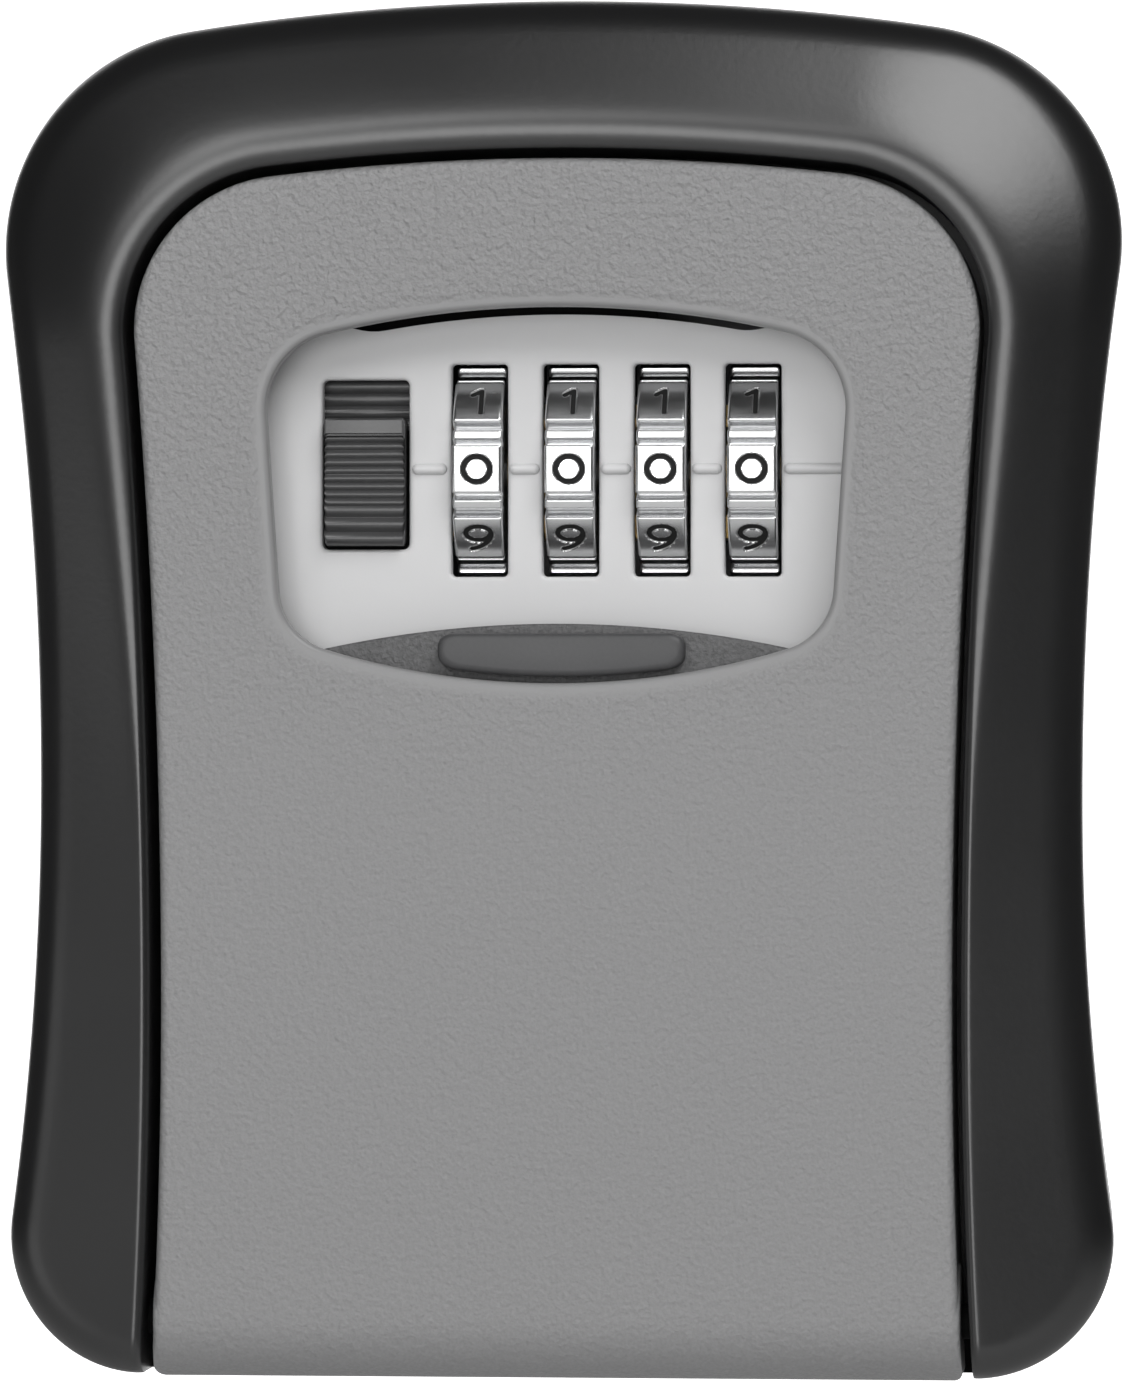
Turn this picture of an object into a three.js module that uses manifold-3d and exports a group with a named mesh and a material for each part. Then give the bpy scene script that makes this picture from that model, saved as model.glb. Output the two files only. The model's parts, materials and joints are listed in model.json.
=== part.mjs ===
// A wall-mounted key lock box: a waisted cast housing, a front door hinged at its foot, four number
// wheels behind a window in the door, a release lever, and a shutter that slides up over the window.
// Millimetres. +X to the right, +Y to the wall, +Z up. The origin is on the wall face at mid-height.
import * as THREE from "three";
import { mergeVertices } from "three/addons/utils/BufferGeometryUtils.js";
import Module from "manifold-3d";

const wasm = await Module();
wasm.setup();

// ---------------------------------------------------------------- driving dimensions
// Outlines in the X-Z plane: a crowned top, round shoulders, hollow sides and a foot.
const BOX = {
  top: 58.2, crownR: 215, shoulderR: 18.4, shoulderX: 29.1,
  waist: 44.1, waistZ: -9, footR: 11.5, footX: 35.2, bottom: -57.7,
};
const DOOR = {
  top: 44.55, crownR: 206, shoulderR: 13, shoulderX: 22.6,
  waist: 33.3, waistZ: -26, footR: 1, footX: 33.1, bottom: -58.1,
};
const MOUTH = { ...DOOR, footX: 34, bottom: -70 }; // the door's opening runs out through the floor
const WINDOW = {
  top: 32.1, archR: 86, cornerX: 17.9, cornerR: 6.5, footR: 5.5, bottom: 0.5, sagR: 68,
};
// Layers of the box, from the wall out to the crest of the rim.
const BACK_WALL = 3;
const CREST_Y = -40;
const HOUSING_WALL = 3.2;
const MOUTH_WALL = 2;
const MOUTH_BACK_Y = -27.6;
const DOOR_GAP = 0.8;
// Layers of the door, from its face inwards.
const DOOR_FACE_Y = -39;
const DOOR_WALL = 1.8;
const DOOR_BACK_Y = -28.1;
const SHUTTER = { front: -36.9, back: -35.6, half: 26, top: 5.5, bottom: -28.8, archR: 93 };
const PANEL = { front: -33, back: -31.4, half: 30.5, bottom: -1, top: 33.5 };
const LATCH = { front: -31, back: -29.8 };
const COVER = { front: -29.3, back: DOOR_BACK_Y, fit: 0.3 };
// The bulge of the door's back cover that holds the wheels.
const CASE = { left: -16.4, right: 27.4, bottom: 3.6, top: 35, back: -13, wall: 1.2 };
// Hinge of the door: its foot is a barrel about the pin.
const HINGE = { y: -34, z: -53.1, barrelR: 5, pinR: 1.5, half: 40.8 };
// Number wheels and what turns with them.
const WHEEL = { y: -25.1, z: 18.56, padR: 10.1, ridgeR: 9.75, grooveR: 9, boreR: 4.2, half: 2.1 };
const WHEEL_X = [-6.95, 0.86, 8.6, 16.3];
const DIGITS = 10;
const SLEEVE = { boreR: 2.1, tubeR: 3.9, collarR: 5.9, collarFrom: -3.9, collarTo: -2.7, lugTo: -1.5 };
const LUG = { inner: 3.5, outer: 5.7, half: 0.9 };
const AXLE_R = 1.8;
const RESET_TRAVEL = 1.2;
const CLEAR = 0.3; // running clearance between faceted pieces
// Slots in the dial panel.
const DIAL_SLOT = { half: 2.4, z: 18.5, tall: 18 };
const LEVER_SLOT = { x: -16.55, z: 19, wide: 7.37, tall: 14.35 };
const LEVER = { wide: 6.8, tall: 10.8, proud: 1.6 };
const LATCH_TRAVEL = 3.2;
const BOLT = { half: 5.5, front: -34.2, back: -31.1, bottom: 34, top: 44.2 };
const TAB = { half: 10.4, top: 4.7, bottom: 1.8, front: -38.7 };
const SCREWS = [[-22.5, 37.5], [22.5, 37.5], [-24, -40], [24, -40]];
const SCREW = { headR: 2.4, headT: 1.2, shankR: 1.1, length: 5.5 };
const BOSS_R = 2.2;
const WALL_HOLE = { x: 22, z: 25, r: 2.3 };
const SPRING = { x: -26.5, y: -30.35, r: 0.7, wireR: 0.2, bottom: 14.3, top: 35.7, turns: 16 };
// Boxes as [left, right, front, back, bottom, top], in millimetres.
const STRIKE = [-10, 10, -36, -34.8, 46, 50.7];
const STRIKE_RECESS = [-10.3, 10.3, -36.3, -30, 44, 51];
const RECESS_WALLS = [-12.3, 12.3, -38, -28.4, 45, 53];
const BOLT_NOTCH = [-6, 6, -34.6, -30.7, 40, 46];
const MECHANISM = { outer: [-13.1, 21.2, -29, -17, 5, 27], inner: [-12.25, 20, -40, 0, 6.2, 40] };
const LATCH_STEM = { left: -20.4, right: -12.6, bottom: 8, top: 30 };
const LATCH_ARM = { left: -19.8, right: 8, bottom: 29.2, top: 37 };
const SPRING_LUG = { half: 1.5, right: -20, bottom: 12, top: 14 };
const SPRING_ANCHOR = { half: 1.5, bottom: 36, top: 38 };
const FENCE = { left: -11, right: 15.5, back: -24, bottom: 29.2, top: 30.2 };
const TOOTH = { from: -3.8, to: -2.8, front: -26.2, bottom: 25 };
const GATE = { from: -5, to: -2, half: 1.3, inner: 4.5, outer: 8 };
const RIB = { count: 9, pitch: 1.15, tall: 0.55, first: 0.4, inset: 0.4, proud: 0.5 };
const RESET_ARM = [22.9, 24.1, -27, -14.5, 15.5, 21.5];
const RESET_NECK = [22.2, 24.1, -15, -12.8, 16, 21];
const RESET_KNOB = [21.6, 24.8, -12.8, -11.5, 15.5, 21.5];
const KNOB_SLOT = [20.9, 25.2, -15, -12, 14.5, 22.5];
const GUIDE = { wide: 2.9, back: -35.1, bottom: -30, top: 33 };
const HOOK = { half: 5, bottom: -2.5, top: 3.5, plate: 1.2, wireR: 0.9 };
const DETENT = { left: -9, right: 19.3, front: -20, back: -17.5, bottom: 6.5, top: 6.9, fingerHalf: 1.5 };
const AXLE = { left: -13.5, right: 22.7 };
const FAR = 200;

// ---------------------------------------------------------------- materials
const finish = (color, roughness, metalness) =>
  new THREE.MeshStandardMaterial({ color, roughness, metalness });
const BLACK_PAINT = finish(0x1d1e20, 0.42, 0.1);
const GREY_PAINT = finish(0x929395, 0.6, 0.1);
const PALE_PLASTIC = finish(0xcfd0d2, 0.45, 0);
const BLACK_PLASTIC = finish(0x141416, 0.5, 0);
const DARK_PLASTIC = finish(0x3a3b3d, 0.6, 0);
const TAB_PLASTIC = finish(0x6a6b6d, 0.5, 0);
const CHROME = finish(0xd6d8da, 0.15, 1);
const STEEL = finish(0xa9abae, 0.35, 1);
const BLACK_STEEL = finish(0x1c1c1e, 0.45, 0.6);
const SPRING_STEEL = finish(0x6f7073, 0.3, 1);
const BRASS = finish(0xb8964e, 0.35, 1);

// ---------------------------------------------------------------- solids
// A closed three.js geometry as a solid that can be cut and joined.
function solid(geometry) {
  const bare = geometry.clone();
  bare.deleteAttribute("normal");
  bare.deleteAttribute("uv");
  const merged = mergeVertices(bare, 1e-4);
  return new wasm.Manifold(new wasm.Mesh({
    numProp: 3,
    vertProperties: new Float32Array(merged.attributes.position.array),
    triVerts: new Uint32Array(merged.index.array),
  }));
}

// The solid's faces as a three.js mesh with its name and finish.
function piece(name, shape, material) {
  const found = shape.getMesh();
  const geometry = new THREE.BufferGeometry();
  const places = new Float32Array(found.vertProperties);
  geometry.setAttribute("position", new THREE.BufferAttribute(places, 3));
  geometry.setIndex(new THREE.BufferAttribute(new Uint32Array(found.triVerts), 1));
  geometry.computeVertexNormals();
  const mesh = new THREE.Mesh(geometry, material);
  mesh.name = name;
  return mesh;
}

const cut = (from, ...tools) => tools.reduce((left, tool) => left.subtract(tool), from);
const join = (...parts) => parts.reduce((whole, part) => whole.add(part));

function block(x0, x1, y0, y1, z0, z1) {
  const box = new THREE.BoxGeometry(x1 - x0, y1 - y0, z1 - z0);
  return solid(box.translate((x0 + x1) / 2, (y0 + y1) / 2, (z0 + z1) / 2));
}

function rodX(radius, x0, x1, y, z, sides = 24) {
  const rod = new THREE.CylinderGeometry(radius, radius, x1 - x0, sides);
  return solid(rod.rotateZ(Math.PI / 2).translate((x0 + x1) / 2, y, z));
}

function rodY(radius, x, z, y0, y1, sides = 16) {
  const rod = new THREE.CylinderGeometry(radius, radius, y1 - y0, sides);
  return solid(rod.translate(x, (y0 + y1) / 2, z));
}

const shapeOf = (points) => new THREE.Shape(points.map(([u, v]) => new THREE.Vector2(u, v)));

// An outline in X-Z carried along Y, from the wall side to the front.
function slab(points, yBack, yFront) {
  const options = { depth: yBack - yFront, bevelEnabled: false };
  const geometry = new THREE.ExtrudeGeometry(shapeOf(points), options);
  return solid(geometry.rotateX(Math.PI / 2).translate(0, yBack, 0));
}

// The same with its front edge rounded over by an ellipse, wide in the plane and deep along Y.
function roundedSlab(points, yBack, yFront, wide, deep, steps) {
  const options = {
    depth: yBack - yFront, bevelEnabled: true, bevelSegments: steps,
    bevelSize: wide, bevelOffset: -wide, bevelThickness: deep,
  };
  const geometry = new THREE.ExtrudeGeometry(shapeOf(points), options);
  const whole = solid(geometry.rotateX(Math.PI / 2).translate(0, yBack + deep, 0));
  return cut(whole, block(-FAR, FAR, yBack, yBack + FAR, -FAR, FAR));
}

// An outline in Y-Z carried along X.
function bar(points, x0, x1, holes = []) {
  const shape = shapeOf(points);
  holes.forEach((hole) => shape.holes.push(new THREE.Path(shapeOf(hole).getPoints())));
  const geometry = new THREE.ExtrudeGeometry(shape, { depth: x1 - x0, bevelEnabled: false });
  const turn = new THREE.Matrix4().set(0, 0, 1, x0, 1, 0, 0, 0, 0, 1, 0, 0, 0, 0, 0, 1);
  return solid(geometry.applyMatrix4(turn));
}

// ---------------------------------------------------------------- outlines
// Points along an arc about (x, z), without its last point; angles in radians.
function arc(x, z, radius, from, to, steps) {
  return Array.from({ length: steps }, (_, i) => {
    const angle = from + ((to - from) * i) / steps;
    return [x + radius * Math.cos(angle), z + radius * Math.sin(angle)];
  });
}

// The radius of a hollow side that is upright at (waist, waistZ) and tangent to a round corner.
function hollowRadius(waist, waistZ, cornerX, cornerZ, cornerR) {
  const dx = waist - cornerX;
  const dz = cornerZ - waistZ;
  return (dz * dz + dx * dx - cornerR * cornerR) / (2 * (cornerR - dx));
}

const mirrored = (right) => [...right, ...right.slice(1, -1).reverse().map(([x, z]) => [-x, z])];

// Crown, shoulder, two stretches of hollow side, foot corner. A positive inset shrinks the outline.
function waistedOutline(spec, inset) {
  const crownZ = spec.top - spec.crownR;
  const shoulderZ = crownZ + Math.sqrt((spec.crownR - spec.shoulderR) ** 2 - spec.shoulderX ** 2);
  const crownEnd = Math.atan2(shoulderZ - crownZ, spec.shoulderX);
  const upperR = hollowRadius(spec.waist, spec.waistZ, spec.shoulderX, shoulderZ, spec.shoulderR);
  const upperEnd = Math.atan2(shoulderZ - spec.waistZ, spec.shoulderX - spec.waist - upperR);
  const footZ = spec.bottom + spec.footR;
  const lowerR = hollowRadius(spec.waist, spec.waistZ, spec.footX, footZ, spec.footR);
  const lowerEnd = Math.atan2(footZ - spec.waistZ, spec.footX - spec.waist - lowerR);
  const sharp = Math.max(0, inset + 0.2 - spec.footR);
  const footR = spec.footR - inset + sharp;
  const right = [
    ...arc(0, crownZ, spec.crownR - inset, Math.PI / 2, crownEnd, 5),
    ...arc(spec.shoulderX, shoulderZ, spec.shoulderR - inset, crownEnd, upperEnd - Math.PI, 6),
    ...arc(spec.waist + upperR, spec.waistZ, upperR + inset, upperEnd, Math.PI, 4),
    ...arc(spec.waist + lowerR, spec.waistZ, lowerR + inset, Math.PI, lowerEnd + 2 * Math.PI, 4),
    ...arc(spec.footX - sharp, footZ + sharp, footR, lowerEnd + Math.PI, -Math.PI / 2, 5),
    [spec.footX - sharp, spec.bottom + inset],
  ];
  return mirrored([...right, [0, spec.bottom + inset]]).reverse();
}

// The window: an arched top, round corners, sides that lean in and a sagging lower edge.
function windowOutline(inset) {
  const archZ = WINDOW.top - WINDOW.archR;
  const sagZ = WINDOW.bottom + WINDOW.sagR;
  const rise = (radius) => Math.sqrt(radius ** 2 - WINDOW.cornerX ** 2);
  const cornerZ = archZ + rise(WINDOW.archR - WINDOW.cornerR);
  const footZ = sagZ - rise(WINDOW.sagR - WINDOW.footR);
  const lean = Math.asin((WINDOW.cornerR - WINDOW.footR) / (cornerZ - footZ));
  const archEnd = Math.atan2(cornerZ - archZ, WINDOW.cornerX);
  const sagEnd = Math.atan2(footZ - sagZ, WINDOW.cornerX);
  const right = [
    ...arc(0, archZ, WINDOW.archR - inset, Math.PI / 2, archEnd, 4),
    ...arc(WINDOW.cornerX, cornerZ, WINDOW.cornerR - inset, archEnd, -lean, 5),
    ...arc(WINDOW.cornerX, footZ, WINDOW.footR - inset, -lean, sagEnd, 5),
    ...arc(0, sagZ, WINDOW.sagR - inset, sagEnd, -Math.PI / 2, 4),
    [0, WINDOW.bottom + inset],
  ];
  return mirrored(right).reverse();
}

// A straight-sided strip whose top edge is an arch.
function archedStrip(half, bottom, top, archR) {
  const end = Math.asin(half / archR);
  const arch = arc(0, top - archR, archR, Math.PI / 2 - end, Math.PI / 2 + end, 10);
  return [[-half, bottom], [half, bottom], ...arch, [-half, top - archR + archR * Math.cos(end)]];
}

// ---------------------------------------------------------------- housing
function housingShell() {
  const outer = roundedSlab(waistedOutline(BOX, 0), 0, CREST_Y, 6, 8, 4);
  const hollow = roundedSlab(waistedOutline(BOX, HOUSING_WALL), -BACK_WALL, CREST_Y + 3.2, 5, 7, 3);
  const collar = slab(waistedOutline(MOUTH, -DOOR_GAP - MOUTH_WALL), MOUTH_BACK_Y, CREST_Y - 1);
  const mouthOutline = waistedOutline(MOUTH, -DOOR_GAP);
  const floor = block(-60, 60, -60, 0, -80, HINGE.z - 0.9);
  const mouth = cut(slab(mouthOutline, MOUTH_BACK_Y + 1, CREST_Y - 1), floor);
  const footMouth = slab(mouthOutline, HINGE.y, CREST_Y - 1);
  const [barrelR, barrelHalf] = [HINGE.barrelR + 0.5, DOOR.footX + DOOR.footR + DOOR_GAP];
  const barrelRoom = rodX(barrelR, -barrelHalf, barrelHalf, HINGE.y, HINGE.z, 32);
  const holes = [-1, 1].flatMap((side) => [-1, 1].map((level) =>
    rodY(WALL_HOLE.r, side * WALL_HOLE.x, level * WALL_HOLE.z, -BACK_WALL - 1, 1)));
  const pinBore = rodX(HINGE.pinR + CLEAR, -HINGE.half - CLEAR, HINGE.half + CLEAR, HINGE.y, HINGE.z, 12);
  const pocketWalls = block(...RECESS_WALLS).intersect(outer);
  const body = join(cut(outer, hollow), collar.intersect(outer), pocketWalls);
  return cut(body, mouth, footMouth, barrelRoom, block(...STRIKE_RECESS), pinBore, ...holes);
}

const strikePlate = () => block(...STRIKE);

function hingePin() {
  return rodX(HINGE.pinR, -HINGE.half, HINGE.half, HINGE.y, HINGE.z, 16);
}

// A wire hook on a small plate, on the back wall above the key space.
function keyHook() {
  const wall = -BACK_WALL - 0.1;
  const base = block(-HOOK.half, HOOK.half, wall - HOOK.plate, wall, HOOK.bottom, HOOK.top);
  const route = new THREE.CatmullRomCurve3([
    [-BACK_WALL - 0.8, 0], [-6.5, -0.1], [-8.2, -0.2], [-9.4, 0.6], [-9.8, 2.2],
  ].map(([y, z]) => new THREE.Vector3(0, y, z)));
  const section = new THREE.Shape().absarc(0, 0, HOOK.wireR, 0, 2 * Math.PI);
  const options = { steps: 10, curveSegments: 4, extrudePath: route, bevelEnabled: false };
  return join(base, solid(new THREE.ExtrudeGeometry(section, options)));
}

// ---------------------------------------------------------------- door
function doorShell() {
  const plate = roundedSlab(waistedOutline(DOOR, 0), DOOR_BACK_Y, DOOR_FACE_Y, 0.8, 0.8, 2);
  const room = slab(waistedOutline(DOOR, DOOR_WALL), DOOR_BACK_Y + 1, DOOR_FACE_Y + DOOR_WALL);
  const foot = block(-40, 40, -41, -27, -60, HINGE.z);
  const barrel = rodX(HINGE.barrelR, -34, 34, HINGE.y, HINGE.z, 32);
  const bosses = SCREWS.map(([x, z]) => rodY(BOSS_R, x, z, DOOR_FACE_Y + 1, COVER.front - 0.1));
  const bores = SCREWS.map(([x, z]) => rodY(SCREW.shankR + CLEAR, x, z, COVER.front - 6, 0, 8));
  const pinBore = rodX(HINGE.pinR + CLEAR, -36, 36, HINGE.y, HINGE.z, 12);
  const window = slab(windowOutline(0), DOOR_BACK_Y, DOOR_FACE_Y - 1);
  const body = join(cut(plate, room, foot), barrel, ...bosses);
  return cut(body, window, pinBore, block(...BOLT_NOTCH), ...bores);
}

function roundedBox(x, z, wide, tall, radius) {
  const [dx, dz] = [wide / 2 - radius, tall / 2 - radius];
  const corners = [[dx, dz], [-dx, dz], [-dx, -dz], [dx, -dz]];
  return corners.flatMap(([cx, cz], i) => {
    const [from, to] = [(i * Math.PI) / 2, ((i + 1) * Math.PI) / 2];
    const last = [x + cx + radius * Math.cos(to), z + cz + radius * Math.sin(to)];
    return [...arc(x + cx, z + cz, radius, from, to, 3), last];
  });
}

// The pale plate behind the window, with a slot for each wheel and one for the lever.
function dialPanel() {
  const midZ = (PANEL.top + PANEL.bottom) / 2;
  const outline = roundedBox(0, midZ, 2 * PANEL.half, PANEL.top - PANEL.bottom, 4);
  const through = (points) => slab(points, PANEL.back + 1, PANEL.front - 1);
  const dials = WHEEL_X.map((x, i) =>
    through(roundedBox(i ? x : x + 0.07, DIAL_SLOT.z, 2 * DIAL_SLOT.half, DIAL_SLOT.tall, 0.4)));
  const lever = through(roundedBox(LEVER_SLOT.x, LEVER_SLOT.z, LEVER_SLOT.wide, LEVER_SLOT.tall, 0.5));
  return cut(slab(outline, PANEL.back, PANEL.front), lever, ...dials);
}

// The door's back: a plate inside the door's walls with a bulge over the wheels.
function doorBackCover() {
  const plate = slab(waistedOutline(DOOR, DOOR_WALL + COVER.fit), COVER.back, COVER.front);
  const bulge = block(CASE.left, CASE.right, COVER.front, CASE.back, CASE.bottom, CASE.top);
  const w = CASE.wall;
  const room = block(CASE.left + w, CASE.right - w, -40, CASE.back - w, CASE.bottom + w, CASE.top - w);
  const { half, bottom, top } = SPRING_ANCHOR;
  const anchor = block(SPRING.x - half, SPRING.x + half, LATCH.front, COVER.front, bottom, top);
  const below = block(-40, 40, -40, 0, -70, HINGE.z + HINGE.barrelR + 0.5);
  const bores = SCREWS.map(([x, z]) => rodY(SCREW.shankR + CLEAR, x, z, -35, 0, 8));
  return cut(join(plate, bulge, anchor), room, below, block(...KNOB_SLOT), ...bores);
}

function coverScrew([x, z]) {
  const { headR, headT, shankR, length } = SCREW;
  const profile = [[0, 0], [headR * 0.7, 0], [headR, headT * 0.5], [headR, headT - 0.1],
    [shankR, headT - 0.1], [shankR, headT + length], [0, headT + length + 0.8]];
  const points = profile.map(([r, h]) => new THREE.Vector2(r, h));
  const screw = new THREE.LatheGeometry(points, 12);
  const place = new THREE.Matrix4().makeTranslation(x, COVER.back + headT, z);
  return solid(screw.rotateX(Math.PI).applyMatrix4(place));
}

// A strip beside the shutter that it runs along.
function shutterGuide(side) {
  const near = SHUTTER.half + CLEAR;
  const far = near + GUIDE.wide;
  const [x0, x1] = side < 0 ? [-far, -near] : [near, far];
  return block(x0, x1, DOOR_FACE_Y + DOOR_WALL + 0.1, GUIDE.back, GUIDE.bottom, GUIDE.top);
}

// Two cheeks and a floor that carry the wheels' axle.
function mechanismFrame() {
  const bore = rodX(AXLE_R + CLEAR, -FAR, FAR, WHEEL.y, WHEEL.z, 12);
  return cut(block(...MECHANISM.outer), block(...MECHANISM.inner), bore);
}

// A flat spring whose four fingers click in the hollows between the wheels' pads.
function detentSpring() {
  const { left, right, front, back, bottom, top, fingerHalf } = DETENT;
  const base = block(left, right, front, back, bottom, top);
  const side = [[back - 0.1, bottom], [back - 0.1, top], [front, top],
    [-24.4, 8.1], [-25.1, 8.2], [-25.8, 8.1], [-27.5, 7.2],
    [-27.5, 6.8], [-25.8, 7.7], [-24.4, 7.7], [front, bottom]];
  const fingers = WHEEL_X.map((x) => bar(side, x - fingerHalf, x + fingerHalf));
  return join(base, ...fingers);
}

// ---------------------------------------------------------------- latch
function latchPlate() {
  const plate = (left, right, { bottom, top }) =>
    block(left, right, LATCH.front, LATCH.back, bottom, top);
  const stem = plate(LATCH_STEM.left, LATCH_STEM.right, LATCH_STEM);
  const arm = plate(LATCH_ARM.left, LATCH_ARM.right, LATCH_ARM);
  const lug = plate(SPRING.x - SPRING_LUG.half, SPRING_LUG.right, SPRING_LUG);
  const { left, right, back, bottom, top } = FENCE;
  const fence = block(left, right, LATCH.back - 0.6, back, bottom, top);
  const teeth = WHEEL_X.map((x) =>
    block(x + TOOTH.from, x + TOOTH.to, TOOTH.front, back, TOOTH.bottom, bottom + 0.4));
  return join(stem, arm, lug, fence, ...teeth);
}

// The thumb piece that fills the panel's lever slot, with grip ribs across it.
function releaseLever() {
  const bottom = LEVER_SLOT.z - LEVER_SLOT.tall / 2 + CLEAR;
  const front = PANEL.front - LEVER.proud;
  const [x0, x1] = [LEVER_SLOT.x - LEVER.wide / 2, LEVER_SLOT.x + LEVER.wide / 2];
  const face = front + RIB.proud;
  const body = block(x0, x1, face, LATCH.front - 0.1, bottom, bottom + LEVER.tall);
  const ribs = Array.from({ length: RIB.count }, (_, i) => {
    const low = bottom + RIB.first + i * RIB.pitch;
    return block(x0 + RIB.inset, x1 - RIB.inset, front, face + 0.1, low, low + RIB.tall);
  });
  return join(body, ...ribs);
}

const latchBolt = () => block(-BOLT.half, BOLT.half, BOLT.front, BOLT.back, BOLT.bottom, BOLT.top);

class Helix extends THREE.Curve {
  getPoint(t) {
    const angle = 2 * Math.PI * SPRING.turns * t;
    const z = SPRING.bottom + (SPRING.top - SPRING.bottom) * t;
    const [x, y] = [SPRING.r * Math.cos(angle), SPRING.r * Math.sin(angle)];
    return new THREE.Vector3(SPRING.x + x, SPRING.y + y, z);
  }
}

function latchSpring() {
  const wire = shapeOf(arc(0, 0, SPRING.wireR, 0, 2 * Math.PI, 5));
  const options = { steps: SPRING.turns * 8, extrudePath: new Helix(), bevelEnabled: false };
  return solid(new THREE.ExtrudeGeometry(wire, options));
}

// ---------------------------------------------------------------- shutter
function shutterPlate() {
  const points = archedStrip(SHUTTER.half, SHUTTER.bottom, SHUTTER.top, SHUTTER.archR);
  return slab(points, SHUTTER.back, SHUTTER.front);
}

function shutterTab() {
  const midZ = (TAB.top + TAB.bottom) / 2;
  const outline = roundedBox(0.5, midZ, 2 * TAB.half, TAB.top - TAB.bottom, 1.2);
  return roundedSlab(outline, SHUTTER.front - 0.1, TAB.front, 0.5, 0.5, 2);
}

// ---------------------------------------------------------------- wheels
// One wheel's rim: for each number a flat pad, a groove, a ridge and a groove.
function wheelRim() {
  const step = (2 * Math.PI) / DIGITS;
  const oneDigit = [[-12, WHEEL.padR], [12, WHEEL.padR], [13, WHEEL.grooveR], [14.8, WHEEL.grooveR],
    [15.8, WHEEL.ridgeR], [20.2, WHEEL.ridgeR], [21.2, WHEEL.grooveR], [23, WHEEL.grooveR]];
  return Array.from({ length: DIGITS }, (_, i) => i).flatMap((i) =>
    oneDigit.map(([degrees, radius]) => {
      const angle = Math.PI + i * step + (degrees * Math.PI) / 180;
      return [WHEEL.y + radius * Math.cos(angle), WHEEL.z + radius * Math.sin(angle)];
    }));
}

// The two lugs of a sleeve, or with a margin the two pockets that they enter in the wheel.
function lugs(x, from, to, margin) {
  return [-1, 1].map((side) => {
    const middle = WHEEL.z + (side * (LUG.inner + LUG.outer)) / 2;
    const tall = (LUG.outer - LUG.inner) / 2 + margin;
    const half = LUG.half + margin;
    return block(x + from, x + to, WHEEL.y - half, WHEEL.y + half, middle - tall, middle + tall);
  });
}

function numberWheel(x) {
  const bore = arc(WHEEL.y, WHEEL.z, WHEEL.boreR, 0, 2 * Math.PI, 20).reverse();
  const wheel = bar(wheelRim(), x - WHEEL.half, x + WHEEL.half, [bore]);
  return cut(wheel, ...lugs(x, -WHEEL.half - 1, -WHEEL.half + 1, CLEAR));
}

// The sleeve that carries a wheel's code: a tube, a collar with a gate notch, and two lugs.
function codeSleeve(x) {
  const tube = rodX(SLEEVE.tubeR, x + SLEEVE.collarFrom, x + WHEEL.half, WHEEL.y, WHEEL.z, 20);
  const collar = rodX(SLEEVE.collarR, x + SLEEVE.collarFrom, x + SLEEVE.collarTo, WHEEL.y, WHEEL.z);
  const gateY = [WHEEL.y - GATE.half, WHEEL.y + GATE.half];
  const gate = block(x + GATE.from, x + GATE.to, ...gateY, WHEEL.z + GATE.inner, WHEEL.z + GATE.outer);
  const bore = rodX(SLEEVE.boreR, x - 10, x + 10, WHEEL.y, WHEEL.z, 16);
  const body = join(tube, collar, ...lugs(x, SLEEVE.collarTo - 0.5, SLEEVE.lugTo, 0));
  return cut(body, bore, gate);
}

const dialAxle = () => rodX(AXLE_R, AXLE.left, AXLE.right, WHEEL.y, WHEEL.z, 16);

// The code-change lever: an arm from the axle's end to a knob behind the back cover.
const resetLever = () => join(block(...RESET_ARM), block(...RESET_NECK), block(...RESET_KNOB));

// ---------------------------------------------------------------- assembly
const keyBox = new THREE.Group();

const housing = new THREE.Group();
housing.add(piece("housing_shell", housingShell(), BLACK_PAINT));
housing.add(piece("strike_plate", strikePlate(), STEEL));
housing.add(piece("hinge_pin", hingePin(), BLACK_STEEL));
housing.add(piece("key_hook", keyHook(), STEEL));

const door = new THREE.Group();
door.add(piece("door_shell", doorShell(), GREY_PAINT));
door.add(piece("dial_panel", dialPanel(), PALE_PLASTIC));
door.add(piece("door_back_cover", doorBackCover(), BLACK_PLASTIC));
door.add(piece("mechanism_frame", mechanismFrame(), STEEL));
door.add(piece("detent_spring", detentSpring(), SPRING_STEEL));
door.add(piece("shutter_guide_left", shutterGuide(-1), BLACK_PLASTIC));
door.add(piece("shutter_guide_right", shutterGuide(1), BLACK_PLASTIC));
SCREWS.forEach((place, i) => door.add(piece("cover_screw_" + (i + 1), coverScrew(place), STEEL)));

const latch = new THREE.Group();
latch.add(piece("latch_plate", latchPlate(), BLACK_STEEL));
latch.add(piece("release_lever", releaseLever(), BLACK_PLASTIC));
latch.add(piece("latch_bolt", latchBolt(), STEEL));
door.add(latch, piece("latch_spring", latchSpring(), SPRING_STEEL));

const shutter = new THREE.Group();
shutter.add(piece("shutter_plate", shutterPlate(), DARK_PLASTIC));
shutter.add(piece("shutter_tab", shutterTab(), TAB_PLASTIC));
door.add(shutter);

const dials = new THREE.Group();
WHEEL_X.forEach((x, i) => {
  dials.add(piece("number_wheel_" + (i + 1), numberWheel(x), CHROME));
  dials.add(piece("code_sleeve_" + (i + 1), codeSleeve(x), BRASS));
});
dials.add(piece("dial_axle", dialAxle(), STEEL));
dials.add(piece("reset_lever", resetLever(), BLACK_PLASTIC));
door.add(dials);

keyBox.add(housing, door);
export default keyBox;
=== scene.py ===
# %% Load the frame
import json
import math

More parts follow.
